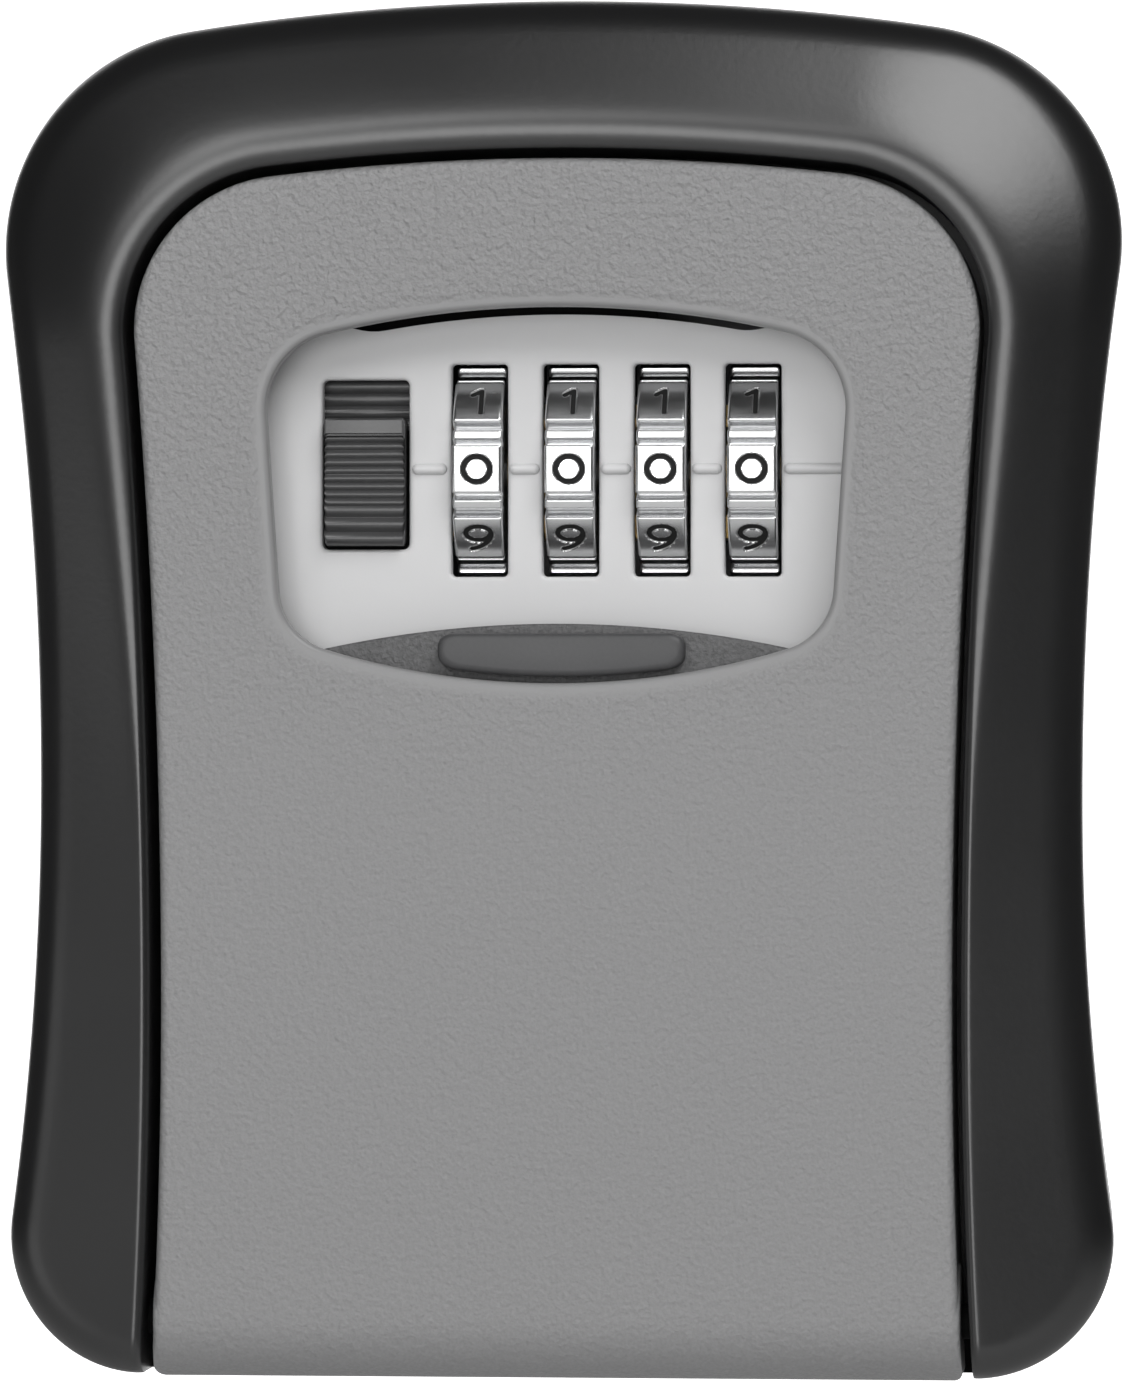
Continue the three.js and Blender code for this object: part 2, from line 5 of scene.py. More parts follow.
import bmesh
import bpy
import numpy as np
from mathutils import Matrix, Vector


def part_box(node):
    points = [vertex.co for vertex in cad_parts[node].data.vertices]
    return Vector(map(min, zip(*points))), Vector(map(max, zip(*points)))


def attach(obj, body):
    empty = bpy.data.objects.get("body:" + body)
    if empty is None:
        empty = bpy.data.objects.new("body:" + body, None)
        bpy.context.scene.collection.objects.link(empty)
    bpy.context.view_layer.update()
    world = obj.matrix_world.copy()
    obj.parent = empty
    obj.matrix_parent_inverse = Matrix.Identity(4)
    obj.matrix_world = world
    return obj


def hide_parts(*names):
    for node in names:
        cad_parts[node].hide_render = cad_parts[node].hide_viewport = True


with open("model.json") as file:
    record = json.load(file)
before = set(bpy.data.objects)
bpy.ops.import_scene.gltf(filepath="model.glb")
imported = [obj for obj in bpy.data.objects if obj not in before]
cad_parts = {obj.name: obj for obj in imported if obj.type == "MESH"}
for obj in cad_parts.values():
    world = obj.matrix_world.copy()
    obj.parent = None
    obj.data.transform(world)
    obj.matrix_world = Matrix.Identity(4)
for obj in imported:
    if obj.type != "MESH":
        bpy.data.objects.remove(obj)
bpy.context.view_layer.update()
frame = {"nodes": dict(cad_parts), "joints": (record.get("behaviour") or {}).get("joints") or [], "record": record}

print("nodes:", len(frame["nodes"]))

# %% [markdown]
# The object is a wall-mounted key lock box. Its housing is a black powder-coated casting with hollow
# sides and a raised bead round the door. The frame gives every piece's place in metres. The shapes
# below are worked out in millimetres, which read better at this size, and each mesh is scaled once
# as it is made.

# %% Units and places read from the frame
MM = 0.001


def box_mm(node):
    """A CAD node's lowest and highest corners, in millimetres."""
    low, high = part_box(node)
    return np.array(low) / MM, np.array(high) / MM


hinge = next(joint for joint in frame["joints"] if joint["name"] == "door_hinge")
HINGE_Y, HINGE_Z = (1000 * value for value in hinge["pos_m"][1:])
spin = next(joint for joint in frame["joints"] if joint["name"] == "wheel_1_spin")
WHEEL_Y, WHEEL_Z = (1000 * value for value in spin["pos_m"][1:])
WHEEL_X = [1000 * joint["pos_m"][0] for joint in frame["joints"] if joint["name"].startswith("wheel_")]
CREST = -box_mm("housing_shell")[0][1]
DOOR_FACE = -box_mm("door_shell")[0][1]
DOOR_BACK = -box_mm("door_shell")[1][1]
PANEL_FACE = -box_mm("dial_panel")[0][1]
print("crest", CREST, "door face", DOOR_FACE, "panel", PANEL_FACE, "wheels at", WHEEL_X)

# %% [markdown]
# Every new piece is a surface given by a function of two parameters. The function is worked out for
# a whole grid of parameters at once, and the grid's cells become the mesh's faces. That keeps a
# shape as a formula, so a fillet or a bead can be made finer by asking for a denser grid.

# %% Turning grids of points into meshes
def faces_of_grid(rows, columns, closed_rows, closed_columns, first=0):
    """The four corners of each cell of a grid, as point numbers; a closed side wraps round."""
    row = np.arange(rows if closed_rows else rows - 1)
    column = np.arange(columns if closed_columns else columns - 1)
    row, column = np.meshgrid(row, column, indexing="ij")
    below, beside = (row + 1) % rows, (column + 1) % columns
    corners = [(row, column), (row, beside), (below, beside), (below, column)]
    return np.stack([first + r * columns + c for r, c in corners], -1).reshape(-1, 4)


MERGE = 0.002 * MM


def make_piece(name, points, faces, smooth_angle=35, bridge=False):
    """A mesh object from points in millimetres and faces, with doubles merged and faces outwards.
    With bridge, its two open rims are joined by a wall."""
    mesh = bpy.data.meshes.new(name)
    mesh.from_pydata((np.asarray(points).reshape(-1, 3) * MM).tolist(), [], faces.tolist())
    work = bmesh.new()
    work.from_mesh(mesh)
    bmesh.ops.remove_doubles(work, verts=work.verts, dist=MERGE)
    bmesh.ops.dissolve_degenerate(work, edges=work.edges, dist=MERGE / 2)
    if bridge:
        bmesh.ops.bridge_loops(work, edges=[edge for edge in work.edges if edge.is_boundary])
    bmesh.ops.recalc_face_normals(work, faces=work.faces)
    open_edges = sum(not edge.is_manifold for edge in work.edges)
    work.to_mesh(mesh)
    work.free()
    piece = bpy.data.objects.new(name, mesh)
    bpy.context.scene.collection.objects.link(piece)
    mesh.shade_smooth()
    mesh.set_sharp_from_angle(angle=math.radians(smooth_angle))
    print(name, len(mesh.polygons), "faces,", open_edges, "open edges")
    return piece


def grid_piece(name, grid, closed_rows=False, closed_columns=False, **more):
    """A piece from one grid of points, rows by columns by three."""
    rows, columns = grid.shape[:2]
    return make_piece(name, grid, faces_of_grid(rows, columns, closed_rows, closed_columns), **more)


def step_up(low, high, value):
    """A smooth step from 0 at low to 1 at high: three squares less two cubes of the way along."""
    way = np.clip((value - low) / (high - low), 0, 1)
    return way * way * (3 - 2 * way)


# %% [markdown]
# The housing, the door and the openings between them share one kind of outline: a low crown, round
# shoulders, hollow sides and a foot. On the real casting these are a few tangent arcs, so here each
# stretch is an arc too. The hollow side's radius follows from the corner that it runs into.

# %% The waisted outline
def arc(x, z, radius, start, end, count):
    """Points on an arc about (x, z), from one angle up to but without the other."""
    angle = start + (end - start) * np.arange(count) / count
    return np.stack([x + radius * np.cos(angle), z + radius * np.sin(angle)], -1)


def hollow_radius(waist, waist_z, corner_x, corner_z, corner_r):
    """Radius of a side that is upright at the waist and tangent to a round corner."""
    dx, dz = waist - corner_x, corner_z - waist_z
    return (dz * dz + dx * dx - corner_r * corner_r) / (2 * (corner_r - dx))


BOX = dict(top=58.2, crown_r=215, shoulder_r=18.4, shoulder_x=28.97, waist=44.1, waist_z=-9,
           foot_r=11.5, foot_x=35.2, bottom=-57.7)
DOOR = dict(top=44.55, crown_r=206, shoulder_r=13, shoulder_x=22.6, waist=33.3, waist_z=-26,
            foot_r=1, foot_x=33.1, bottom=-58.1)
DOOR_GAP = 0.8
COUNTS = (44, 40, 36, 36, 30, 40)


def waisted_half(spec, inset):
    """The right half of an outline from its top centre to its bottom centre, pulled in by inset."""
    crown_z = spec["top"] - spec["crown_r"]
    shoulder_z = crown_z + math.sqrt((spec["crown_r"] - spec["shoulder_r"]) ** 2 - spec["shoulder_x"] ** 2)
    crown_end = math.atan2(shoulder_z - crown_z, spec["shoulder_x"])
    foot_z = spec["bottom"] + spec["foot_r"]
    waist, waist_z = spec["waist"], spec["waist_z"]
    upper = hollow_radius(waist, waist_z, spec["shoulder_x"], shoulder_z, spec["shoulder_r"])
    lower = hollow_radius(waist, waist_z, spec["foot_x"], foot_z, spec["foot_r"])
    upper_end = math.atan2(shoulder_z - waist_z, spec["shoulder_x"] - waist - upper)
    lower_end = math.atan2(foot_z - waist_z, spec["foot_x"] - waist - lower)
    sharp = max(0, inset + 0.2 - spec["foot_r"])
    foot_x = spec["foot_x"] - sharp
    stretches = [
        arc(0, crown_z, spec["crown_r"] - inset, math.pi / 2, crown_end, COUNTS[0]),
        arc(spec["shoulder_x"], shoulder_z, spec["shoulder_r"] - inset, crown_end, upper_end - math.pi,
            COUNTS[1]),
        arc(waist + upper, waist_z, upper + inset, upper_end, math.pi, COUNTS[2]),
        arc(waist + lower, waist_z, lower + inset, math.pi, lower_end + 2 * math.pi, COUNTS[3]),
        arc(foot_x, foot_z + sharp, spec["foot_r"] - inset + sharp, lower_end + math.pi, -math.pi / 2,
            COUNTS[4]),
        np.stack([np.linspace(foot_x, 0, COUNTS[5]), np.full(COUNTS[5], spec["bottom"] + inset)], -1),
    ]
    return np.concatenate(stretches)


def closed_ring(half):
    """A half outline and its mirror image as one closed ring of points."""
    return np.concatenate([half, (half * [-1, 1])[-2:0:-1]])


def distance_to(ring, points, closed=True):
    """Each point's distance to the nearest place on a line of straight stretches."""
    start = ring if closed else ring[:-1]
    run = (np.roll(ring, -1, 0) if closed else ring[1:]) - start
    flat = points.reshape(-1, 2)
    nearest = np.full(len(flat), np.inf)
    for part in range(0, len(flat), 4096):
        offset = flat[part:part + 4096, None] - start
        along = np.clip((offset * run).sum(-1) / np.maximum((run * run).sum(-1), 1e-12), 0, 1)
        gap = np.linalg.norm(offset - along[..., None] * run, axis=-1)
        nearest[part:part + 4096] = gap.min(1)
    return nearest.reshape(points.shape[:-1])


box_ring = closed_ring(waisted_half(BOX, 0))
print("outline points:", len(box_ring))

# %% [markdown]
# The front of the housing is a raised frame. Across it, from the outside in, the real casting rounds
# over from the side wall, rises gently to a bead, drops into a narrow valley and ends in a thin lip
# at the door. The valley fades out towards the foot. It is easiest as a height over the X-Z plane,
# worked out from two distances: to the outer outline, and to the door's opening.

# %% The housing's raised frame
EDGE_R = 3.0
BEAD_R = 4.0
VALLEY_R = 3.0
DRAFT = 0.9
BACK_EDGE = 0.4
MOUTH_DEEP = 27.6
FLOOR_FRONT = 28.7
HOUSING_WALL = 3.2
BACK_WALL = 3.0
MOUTH = dict(DOOR, foot_x=34, bottom=-70)


def mouth_half():
    """The door opening's right half, cut off level with the housing's foot."""
    half = waisted_half(MOUTH, -DOOR_GAP)
    waist, foot = sum(COUNTS[:3]), sum(COUNTS[:5])
    level = np.linspace(half[waist, 1], BOX["bottom"], foot - waist)
    side = np.interp(-level, -half[waist:foot, 1], half[waist:foot, 0])
    floor = np.stack([np.linspace(side[-1], 0, COUNTS[5]), np.full(COUNTS[5], BOX["bottom"])], -1)
    return np.concatenate([half[:waist], np.stack([side, level], -1), floor])


mouth_ring = closed_ring(mouth_half())
mouth_line = np.concatenate([mouth_half()[:sum(COUNTS[:5])], [[34.9, -75]]])


def fillet(distance, radius):
    """How far a round edge has dropped at a distance from the edge: a quarter circle."""
    left = np.clip(radius - distance, 0, None)
    return radius - np.sqrt(np.clip(radius ** 2 - left ** 2, 0, None))


def frame_height(points):
    """Height of the frame above the wall: a cone falling away from the bead to a round outer edge,
    and a valley that rolls down from the bead to the door. Both grow weaker towards the foot."""
    outer = distance_to(box_ring, points)
    mirrored = np.stack([np.abs(points[..., 0]), points[..., 1]], -1)
    inner = distance_to(mouth_line, mirrored, closed=False)
    upper = step_up(-25, 30, points[..., 1])
    bead = 0.3 + 1.2 * upper
    fall = 0.26 + 0.24 * upper
    beyond = np.clip(inner - bead, 0, None)
    roll = fall * (1.2 + (BEAD_R - 1.2) * upper ** 2)
    slope = fall * (np.sqrt(beyond ** 2 + roll ** 2) - roll)
    within = np.clip(bead - inner, 0, None)
    valley = within ** 2 / (2 * VALLEY_R)
    return CREST - slope - valley - fillet(outer, EDGE_R) - fillet(inner, 0.35 + 0.45 * (1 - upper))


def housing_rings():
    """Rings of points from the wall forwards, over the frame, into the mouth and back inside."""
    outer, mouth = box_ring, mouth_ring
    width = np.linalg.norm(mouth - outer, axis=1)
    from_outer = np.array([0, 0.03, 0.1, 0.22, 0.4, 0.65, 0.95, 1.35, 1.8, 2.4, 3.1, 4.0, 5.0])
    middle = np.linspace(0, 1, 8)[1:-1]
    from_mouth = np.array([4.2, 3.7, 3.3, 3.0, 2.7, 2.45, 2.2, 2.0, 1.8, 1.6, 1.4, 1.2, 1.0, 0.8,
                           0.66, 0.54, 0.42, 0.32, 0.23, 0.15, 0.08, 0.03, 0])
    room = np.minimum(1, width / 9.6)
    shares = [room * d / np.maximum(width, 1e-6) for d in from_outer]
    first, last = shares[-1], 1 - room * from_mouth[0] / np.maximum(width, 1e-6)
    shares += [first + (last - first) * m for m in middle]
    shares += [1 - room * d / np.maximum(width, 1e-6) for d in from_mouth]
    share = np.clip(np.array(shares), 0, 1)
    flat = outer[None] + share[..., None] * (mouth - outer)[None]
    height = frame_height(flat)
    place = np.arange(len(outer))
    half = sum(COUNTS[:5])
    on_floor = (place >= half) & (place <= len(outer) - half)
    height[:, on_floor] = -(HINGE_Y + 3.1)
    front = np.concatenate([flat, -height[..., None]], -1)[..., [0, 2, 1]]
    return front, on_floor


def level_ring(ring, depth):
    """A ring of X-Z points at one distance from the wall, or at one for each point."""
    return np.stack([ring[:, 0], np.full(len(ring), -depth), ring[:, 1]], -1)


def make_housing():
    """The whole casting's skin: side wall, frame, mouth wall, ledge and inner wall, as one loft."""
    front, on_floor = housing_rings()
    wall_side = closed_ring(waisted_half(BOX, DRAFT))
    sides = [level_ring(closed_ring(waisted_half(BOX, DRAFT + BACK_EDGE)), 0.0),
             level_ring(wall_side, BACK_EDGE)]
    foot = level_ring(wall_side, 0.0)
    wall = [foot + (front[0] - foot) * share for share in (0.15, 0.4, 0.65, 0.85)]
    mouth = front[-1].copy()
    deeper = []
    for depth in (0.75, 0.5, 0.25, 0):
        ring = mouth.copy()
        ring[:, 1] = -(MOUTH_DEEP + (-mouth[:, 1] - MOUTH_DEEP) * depth)
        deeper.append(ring)
    inner = closed_ring(waisted_half(BOX, HOUSING_WALL))
    for ring in deeper:
        ring[on_floor, 2] = BOX["bottom"] + HOUSING_WALL
        ring[on_floor, 1] = -FLOOR_FRONT
    inside = [level_ring(inner, MOUTH_DEEP), level_ring(inner, 15), level_ring(inner, BACK_WALL)]
    return np.stack([*sides, *wall, *front, *deeper, *inside])


housing_grid = make_housing()
print("housing grid", housing_grid.shape)

# %% [markdown]
# The back wall has four screw holes. A flat plate with holes can be cut with booleans, but a ring of
# points can also shrink from the plate's edge to the edge of a hole. The wall is split into four
# quarters with a hole in each, and each quarter is one such ring.

# %% The housing with its back wall
WALL_HOLE = dict(x=22, z=25, r=2.3, sink=4.2)


def quarter_loops(ring, low):
    """The edge of one quarter of the back wall: a stretch of the outline and two straight lines."""
    waist = sum(COUNTS[:3])
    half = ring[:sum(COUNTS)]
    centre = np.array([0.0, BOX["waist_z"]])
    stretch = half[waist:] if low else half[:waist + 1]
    start, end = stretch[0], stretch[-1]
    way = np.linspace(0, 1, 25)[1:, None]
    first = end + way * (centre - end)
    second = centre + way * (start - centre)
    return np.concatenate([stretch, first, second[:-1]])


def wall_quarter(low, mirror):
    """Rings from the quarter's inner edge into its countersunk hole and out to the outer edge."""
    inside = quarter_loops(closed_ring(waisted_half(BOX, HOUSING_WALL)), low)
    outside = quarter_loops(closed_ring(waisted_half(BOX, DRAFT + BACK_EDGE)), low)
    hole = np.array([WALL_HOLE["x"], -WALL_HOLE["z"] if low else WALL_HOLE["z"]])
    towards = (inside - hole) / np.linalg.norm(inside - hole, axis=1)[:, None]
    sink, bore = WALL_HOLE["sink"], WALL_HOLE["r"]
    steps = [(sink + 1.2, BACK_WALL), (sink + 0.15, BACK_WALL), (sink, BACK_WALL - 0.1), (bore, 1.2),
             (bore, 0.2), (bore + 0.2, 0.0), (bore + 1.2, 0.0)]
    rings = [level_ring(inside, BACK_WALL)]
    rings += [level_ring(hole + radius * towards, depth) for radius, depth in steps]
    rings.append(level_ring(outside, 0))
    return np.stack(rings) * [-1 if mirror else 1, 1, 1]


def join_grids(grids):
    """Points and faces of several grids, each closed along its columns."""
    points, faces, count = [], [], 0
    for grid in grids:
        rows, columns = grid.shape[:2]
        points.append(grid.reshape(-1, 3))
        faces.append(faces_of_grid(rows, columns, False, True, count))
        count += rows * columns
    return np.concatenate(points), np.concatenate(faces)


quarters = [wall_quarter(low, mirror) for low in (False, True) for mirror in (False, True)]
housing = make_piece("housing_casting", *join_grids([housing_grid, *quarters]))

# %% [markdown]
# The door is a pressed shell with a window. Its face is a height over the X-Z plane too: flat, with a
# small round edge, a lower border round the window and a foot that follows the hinge barrel. Rings of
# points run from the door's edge to the window's edge and back behind, so the shell is one closed skin.

# %% The window outline and the door shell
WINDOW = dict(top=32.1, arch_r=86, corner_x=17.9, corner_r=6.5, foot_r=5.5, bottom=0.5, sag_r=68)
SKIN = 1.8
BARREL_R = 5.0


def window_half():
    """The window's right half: arched top, round corner, leaning side, round corner, sagging edge."""
    arch_z = WINDOW["top"] - WINDOW["arch_r"]
    sag_z = WINDOW["bottom"] + WINDOW["sag_r"]
    corner_x, corner_r, foot_r = WINDOW["corner_x"], WINDOW["corner_r"], WINDOW["foot_r"]
    corner_z = arch_z + math.sqrt((WINDOW["arch_r"] - corner_r) ** 2 - corner_x ** 2)
    foot_z = sag_z - math.sqrt((WINDOW["sag_r"] - foot_r) ** 2 - corner_x ** 2)
    lean = math.asin((corner_r - foot_r) / (corner_z - foot_z))
    arch_end = math.atan2(corner_z - arch_z, corner_x)
    sag_end = math.atan2(foot_z - sag_z, corner_x)
    normal = np.array([math.cos(lean), -math.sin(lean)])
    top = np.array([corner_x, corner_z]) + corner_r * normal
    foot = np.array([corner_x, foot_z]) + foot_r * normal
    side = COUNTS[2] + COUNTS[3]
    return np.concatenate([
        arc(0, arch_z, WINDOW["arch_r"], math.pi / 2, arch_end, COUNTS[0]),
        arc(corner_x, corner_z, corner_r, arch_end, -lean, COUNTS[1]),
        top + (foot - top) * (np.arange(side) / side)[:, None],
        arc(corner_x, foot_z, foot_r, -lean, sag_end, COUNTS[4]),
        arc(0, sag_z, WINDOW["sag_r"], sag_end, -math.pi / 2, COUNTS[5] - 1), [[0, WINDOW["bottom"]]],
    ])


window_ring = closed_ring(window_half())
door_ring = closed_ring(waisted_half(DOOR, 0))


def barrel_rise(z):
    """How far the hinge barrel stands out from its axis at a height below the axis, else its radius."""
    return np.sqrt(np.clip(BARREL_R ** 2 - np.clip(HINGE_Z - z, 0, BARREL_R) ** 2, 0, None))


def door_height(points):
    """Height of the door's face: flat, round at the edge, lower beside the window, round at the foot."""
    edge = distance_to(door_ring, points)
    window = distance_to(window_ring, points)
    face = -HINGE_Y + (DOOR_FACE + HINGE_Y) / BARREL_R * barrel_rise(points[..., 1])
    round_edge = fillet(edge, 0.7) * step_up(HINGE_Z - 4.5, HINGE_Z, points[..., 1])
    border = 0.05 * (1 - step_up(0.8, 1.6, window))
    return face - round_edge - border - fillet(window, 0.5)


def loft_shares(width, from_first, between, from_last):
    """Shares of the way between two rings: set distances from each, and even steps between."""
    shares = [d / width for d in from_first]
    last = 1 - from_last[0] / width
    shares += [shares[-1] + (last - shares[-1]) * m for m in np.linspace(0, 1, between + 2)[1:-1]]
    return np.array(shares + [1 - d / width for d in from_last])


def make_door():
    """Rings over the face to the window, behind the face to the walls, and round the walls' edge."""
    width = np.linalg.norm(window_ring - door_ring, axis=1)
    from_edge = [0, 0.03, 0.1, 0.2, 0.34, 0.5, 0.7, 1.1, 1.7, 2.4, 3.2, 4.1, 5.1]
    from_window = [3.4, 2.6, 2.1, 1.8, 1.6, 1.5, 1.4, 1.3, 1.2, 1.1, 0.8, 0.5, 0.34, 0.2, 0.1, 0.03, 0]
    share = loft_shares(width, from_edge, 16, from_window)
    flat = door_ring[None] + share[..., None] * (window_ring - door_ring)[None]
    face = np.concatenate([flat, -door_height(flat)[..., None]], -1)[..., [0, 2, 1]]
    inner = closed_ring(waisted_half(DOOR, SKIN))
    behind = DOOR_FACE - SKIN
    skin_back = -HINGE_Y + (behind + HINGE_Y) / BARREL_R * barrel_rise(inner[:, 1])

    def back_of(ring):
        """The walls end at the door's back, or at the barrel below the hinge axis."""
        return -HINGE_Y - (-HINGE_Y - DOOR_BACK) / BARREL_R * barrel_rise(ring[:, 1])

    rings = [level_ring(window_ring, behind), level_ring(inner, skin_back),
             level_ring(inner, back_of(inner)), level_ring(door_ring, back_of(door_ring))]
    return np.concatenate([face, np.stack(rings)])


door = grid_piece("door_pressing", make_door(), closed_rows=True, closed_columns=True)

# %% [markdown]
# Turned parts, such as the barrel, the pins and the screws, are a profile carried round an axis. A
# profile is a list of places along the axis and radii there.

# %% Turned parts
PIN_LOW, PIN_HIGH = box_mm("hinge_pin")
PIN_R, PIN_HALF = (PIN_HIGH[2] - PIN_LOW[2]) / 2, PIN_HIGH[0]
PIN_PLAY = 0.25
BARREL_HALF, BARREL_SKIN_R = 33.95, 4.95


def rod_profile(half, radius, drop, bore=0.0):
    """Places along the axis and radii of a rod or a tube, with a soft edge at both ends."""
    end = [(half - 0.35, radius), (half - 0.1, radius - drop), (half, radius - 0.35), (half, bore)]
    return [(-along, r) for along, r in reversed(end)] + end


def turned(name, profile, count, bored):
    """A profile of (along, radius) turned about the hinge's axis. A bored part's profile is a closed
    loop, and a solid part's runs from the axis to the axis."""
    profile = np.asarray(profile)
    angle = np.linspace(0, 2 * math.pi, count, endpoint=False)
    along = np.repeat(profile[:, :1], count, 1)
    across, up = profile[:, 1:] * np.cos(angle), profile[:, 1:] * np.sin(angle)
    return grid_piece(name, np.stack([along, HINGE_Y + across, HINGE_Z + up], -1), bored, True)


barrel_profile = rod_profile(BARREL_HALF, BARREL_SKIN_R, drop=0.15, bore=PIN_R + PIN_PLAY)
door_barrel = turned("door_barrel", barrel_profile, count=72, bored=True)
hinge_rod = turned("hinge_rod", rod_profile(PIN_HALF, PIN_R, drop=0.1), count=48, bored=False)

# %% [markdown]
# A screw is turned too, but the cross in its head is not round, so each ring's height along the screw
# changes round the ring: it drops where the ring passes through one of the cross's two bars.

# %% The cover's screws
SCREW_RING = 96


def make_screw(number):
    """A pan-head screw: a pointed shank, a domed head and a cross pressed into the dome."""
    low, high = box_mm(f"cover_screw_{number}")
    centre, head = (low + high) / 2, (high[0] - low[0]) / 2
    angle = np.linspace(0, 2 * math.pi, SCREW_RING, endpoint=False)
    stem = [(low[1], 0.0), (low[1] + 0.8, 1.1), (high[1] - 1.1, 1.1), (high[1] - 1.1, head - 0.1),
            (high[1] - 1.0, head), (high[1] - 0.7, head)]
    rows = [(np.full(SCREW_RING, y), r) for y, r in stem]
    for radius in np.linspace(0.98 * head, 0, 26):
        across = np.minimum(np.abs(radius * np.cos(angle)), np.abs(radius * np.sin(angle)))
        pressed = (1 - step_up(0.24, 0.32, across)) * (1 - step_up(1.25, 1.4, radius))
        dome = 0.65 * (1 - math.sqrt(1 - 0.96 * (radius / head) ** 2))
        rows.append((high[1] - dome - 0.6 * pressed, radius))
    x_way, z_way = np.cos(angle), np.sin(angle)
    grid = [np.stack([centre[0] + r * x_way, y, centre[2] + r * z_way], -1) for y, r in rows]
    return grid_piece(f"cross_screw_{number}", np.stack(grid), False, True, smooth_angle=40)


screws = [make_screw(number) for number in (1, 2, 3, 4)]

# %% [markdown]
# Behind the window is a pale plate with one upright slot for each number wheel and a wider one for the
# release lever. Each slot sits in a rectangular cell, and rings of points shrink from the cell's edge
# to the slot's. The short raised bars between the slots mark the line on which the code is read.

# %% The dial panel
DIAL_SLOT = dict(half=2.4, z=18.5, tall=18.0)
LEVER_SLOT = dict(x=-16.55, z=19.0, wide=7.37, tall=14.35)
PANEL_LOW, PANEL_HIGH = box_mm("dial_panel")
PANEL_GAP = 0.45
SLOT_CELLS = (7.4, 28.2)


def rounded_rectangle(x, z, wide, tall, radius, corner=8, side=14):
    """A ring round a rectangle with round corners, with the same count of points for any radius."""
    half_w, half_t = wide / 2 - radius, tall / 2 - radius
    ring = []
    for turn, (sx, sz) in enumerate([(1, 1), (-1, 1), (-1, -1), (1, -1)]):
        start = turn * math.pi / 2
        angle = start + np.linspace(0, math.pi / 2, corner)
        ring.append(np.stack([x + sx * half_w + radius * np.cos(angle),
                              z + sz * half_t + radius * np.sin(angle)], -1))
    closed = []
    for turn in range(4):
        here, there = ring[turn], ring[(turn + 1) % 4]
        way = np.linspace(0, 1, side + 2)[1:-1, None]
        closed += [here, here[-1] + way * (there[0] - here[-1])]
    return np.concatenate(closed)


def slot_cell(x0, x1, z0, z1, slot):
    """Rings from a cell's edge over the slot's soft edge, down its wall and back behind the cell."""
    x, z, wide, tall, radius = slot
    cell = rounded_rectangle((x0 + x1) / 2, (z0 + z1) / 2, x1 - x0, z1 - z0, 0.0)
    face, back = PANEL_FACE, -PANEL_HIGH[1]
    rings = [level_ring(cell, face)]
    for grow, drop in ((0.6, 0), (0.32, 0), (0.2, 0.03), (0.09, 0.1), (0.02, 0.22), (0, 0.4)):
        edge = rounded_rectangle(x, z, wide + 2 * grow, tall + 2 * grow, radius + grow)
        rings.append(level_ring(edge, face - drop))
    rings.append(level_ring(rounded_rectangle(x, z, wide, tall, radius), back))
    rings.append(level_ring(cell, back))
    return np.stack(rings)


def plain_cells(edges, z0, z1):
    """Flat cells at the face and at the back between the same edges."""
    rings = []
    for x0, x1 in zip(edges[:-1], edges[1:]):
        cell = rounded_rectangle((x0 + x1) / 2, (z0 + z1) / 2, x1 - x0, z1 - z0, 0.0)
        middle = np.broadcast_to(cell.mean(0), cell.shape)
        rings.append(np.stack([level_ring(cell, PANEL_FACE), level_ring(middle, PANEL_FACE)]))
        rings.append(np.stack([level_ring(cell, -PANEL_HIGH[1]), level_ring(middle, -PANEL_HIGH[1])]))
    return rings


def make_panel():
    """Cells with slots between two rows of plain cells; the two sheets are bridged at the rim."""
    slot_x = [WHEEL_X[0] + 0.07, *WHEEL_X[1:]]
    slots = [(LEVER_SLOT["x"], LEVER_SLOT["z"], LEVER_SLOT["wide"], LEVER_SLOT["tall"], 0.5)]
    slots += [(x, DIAL_SLOT["z"], 2 * DIAL_SLOT["half"], DIAL_SLOT["tall"], 0.4) for x in slot_x]
    edges = [PANEL_LOW[0], -22.0, -11.1]
    edges += [(a + b) / 2 for a, b in zip(slot_x[:-1], slot_x[1:])] + [slot_x[-1] + 4, PANEL_HIGH[0]]
    low, high = SLOT_CELLS
    grids = [slot_cell(a, b, low, high, slot) for a, b, slot in zip(edges[1:-2], edges[2:-1], slots)]
    grids += plain_cells(edges[:2], low, high) + plain_cells(edges[-2:], low, high)
    grids += plain_cells(edges, PANEL_LOW[2], low) + plain_cells(edges, high, PANEL_HIGH[2])
    points, faces = join_grids(grids)
    across, up = points[:, 0], points[:, 2]
    arch = WINDOW["top"] - WINDOW["arch_r"] + np.sqrt(WINDOW["arch_r"] ** 2 - across ** 2)
    top = np.minimum(arch - PANEL_GAP + 3.5 * step_up(15, 24, np.abs(across)), PANEL_HIGH[2])
    share = np.clip((up - high) / (PANEL_HIGH[2] - high), 0, 1)
    points[:, 2] = np.where(share > 0, high + share * (top - high), up)
    return points, faces


panel = make_piece("dial_plate", *make_panel(), bridge=True)


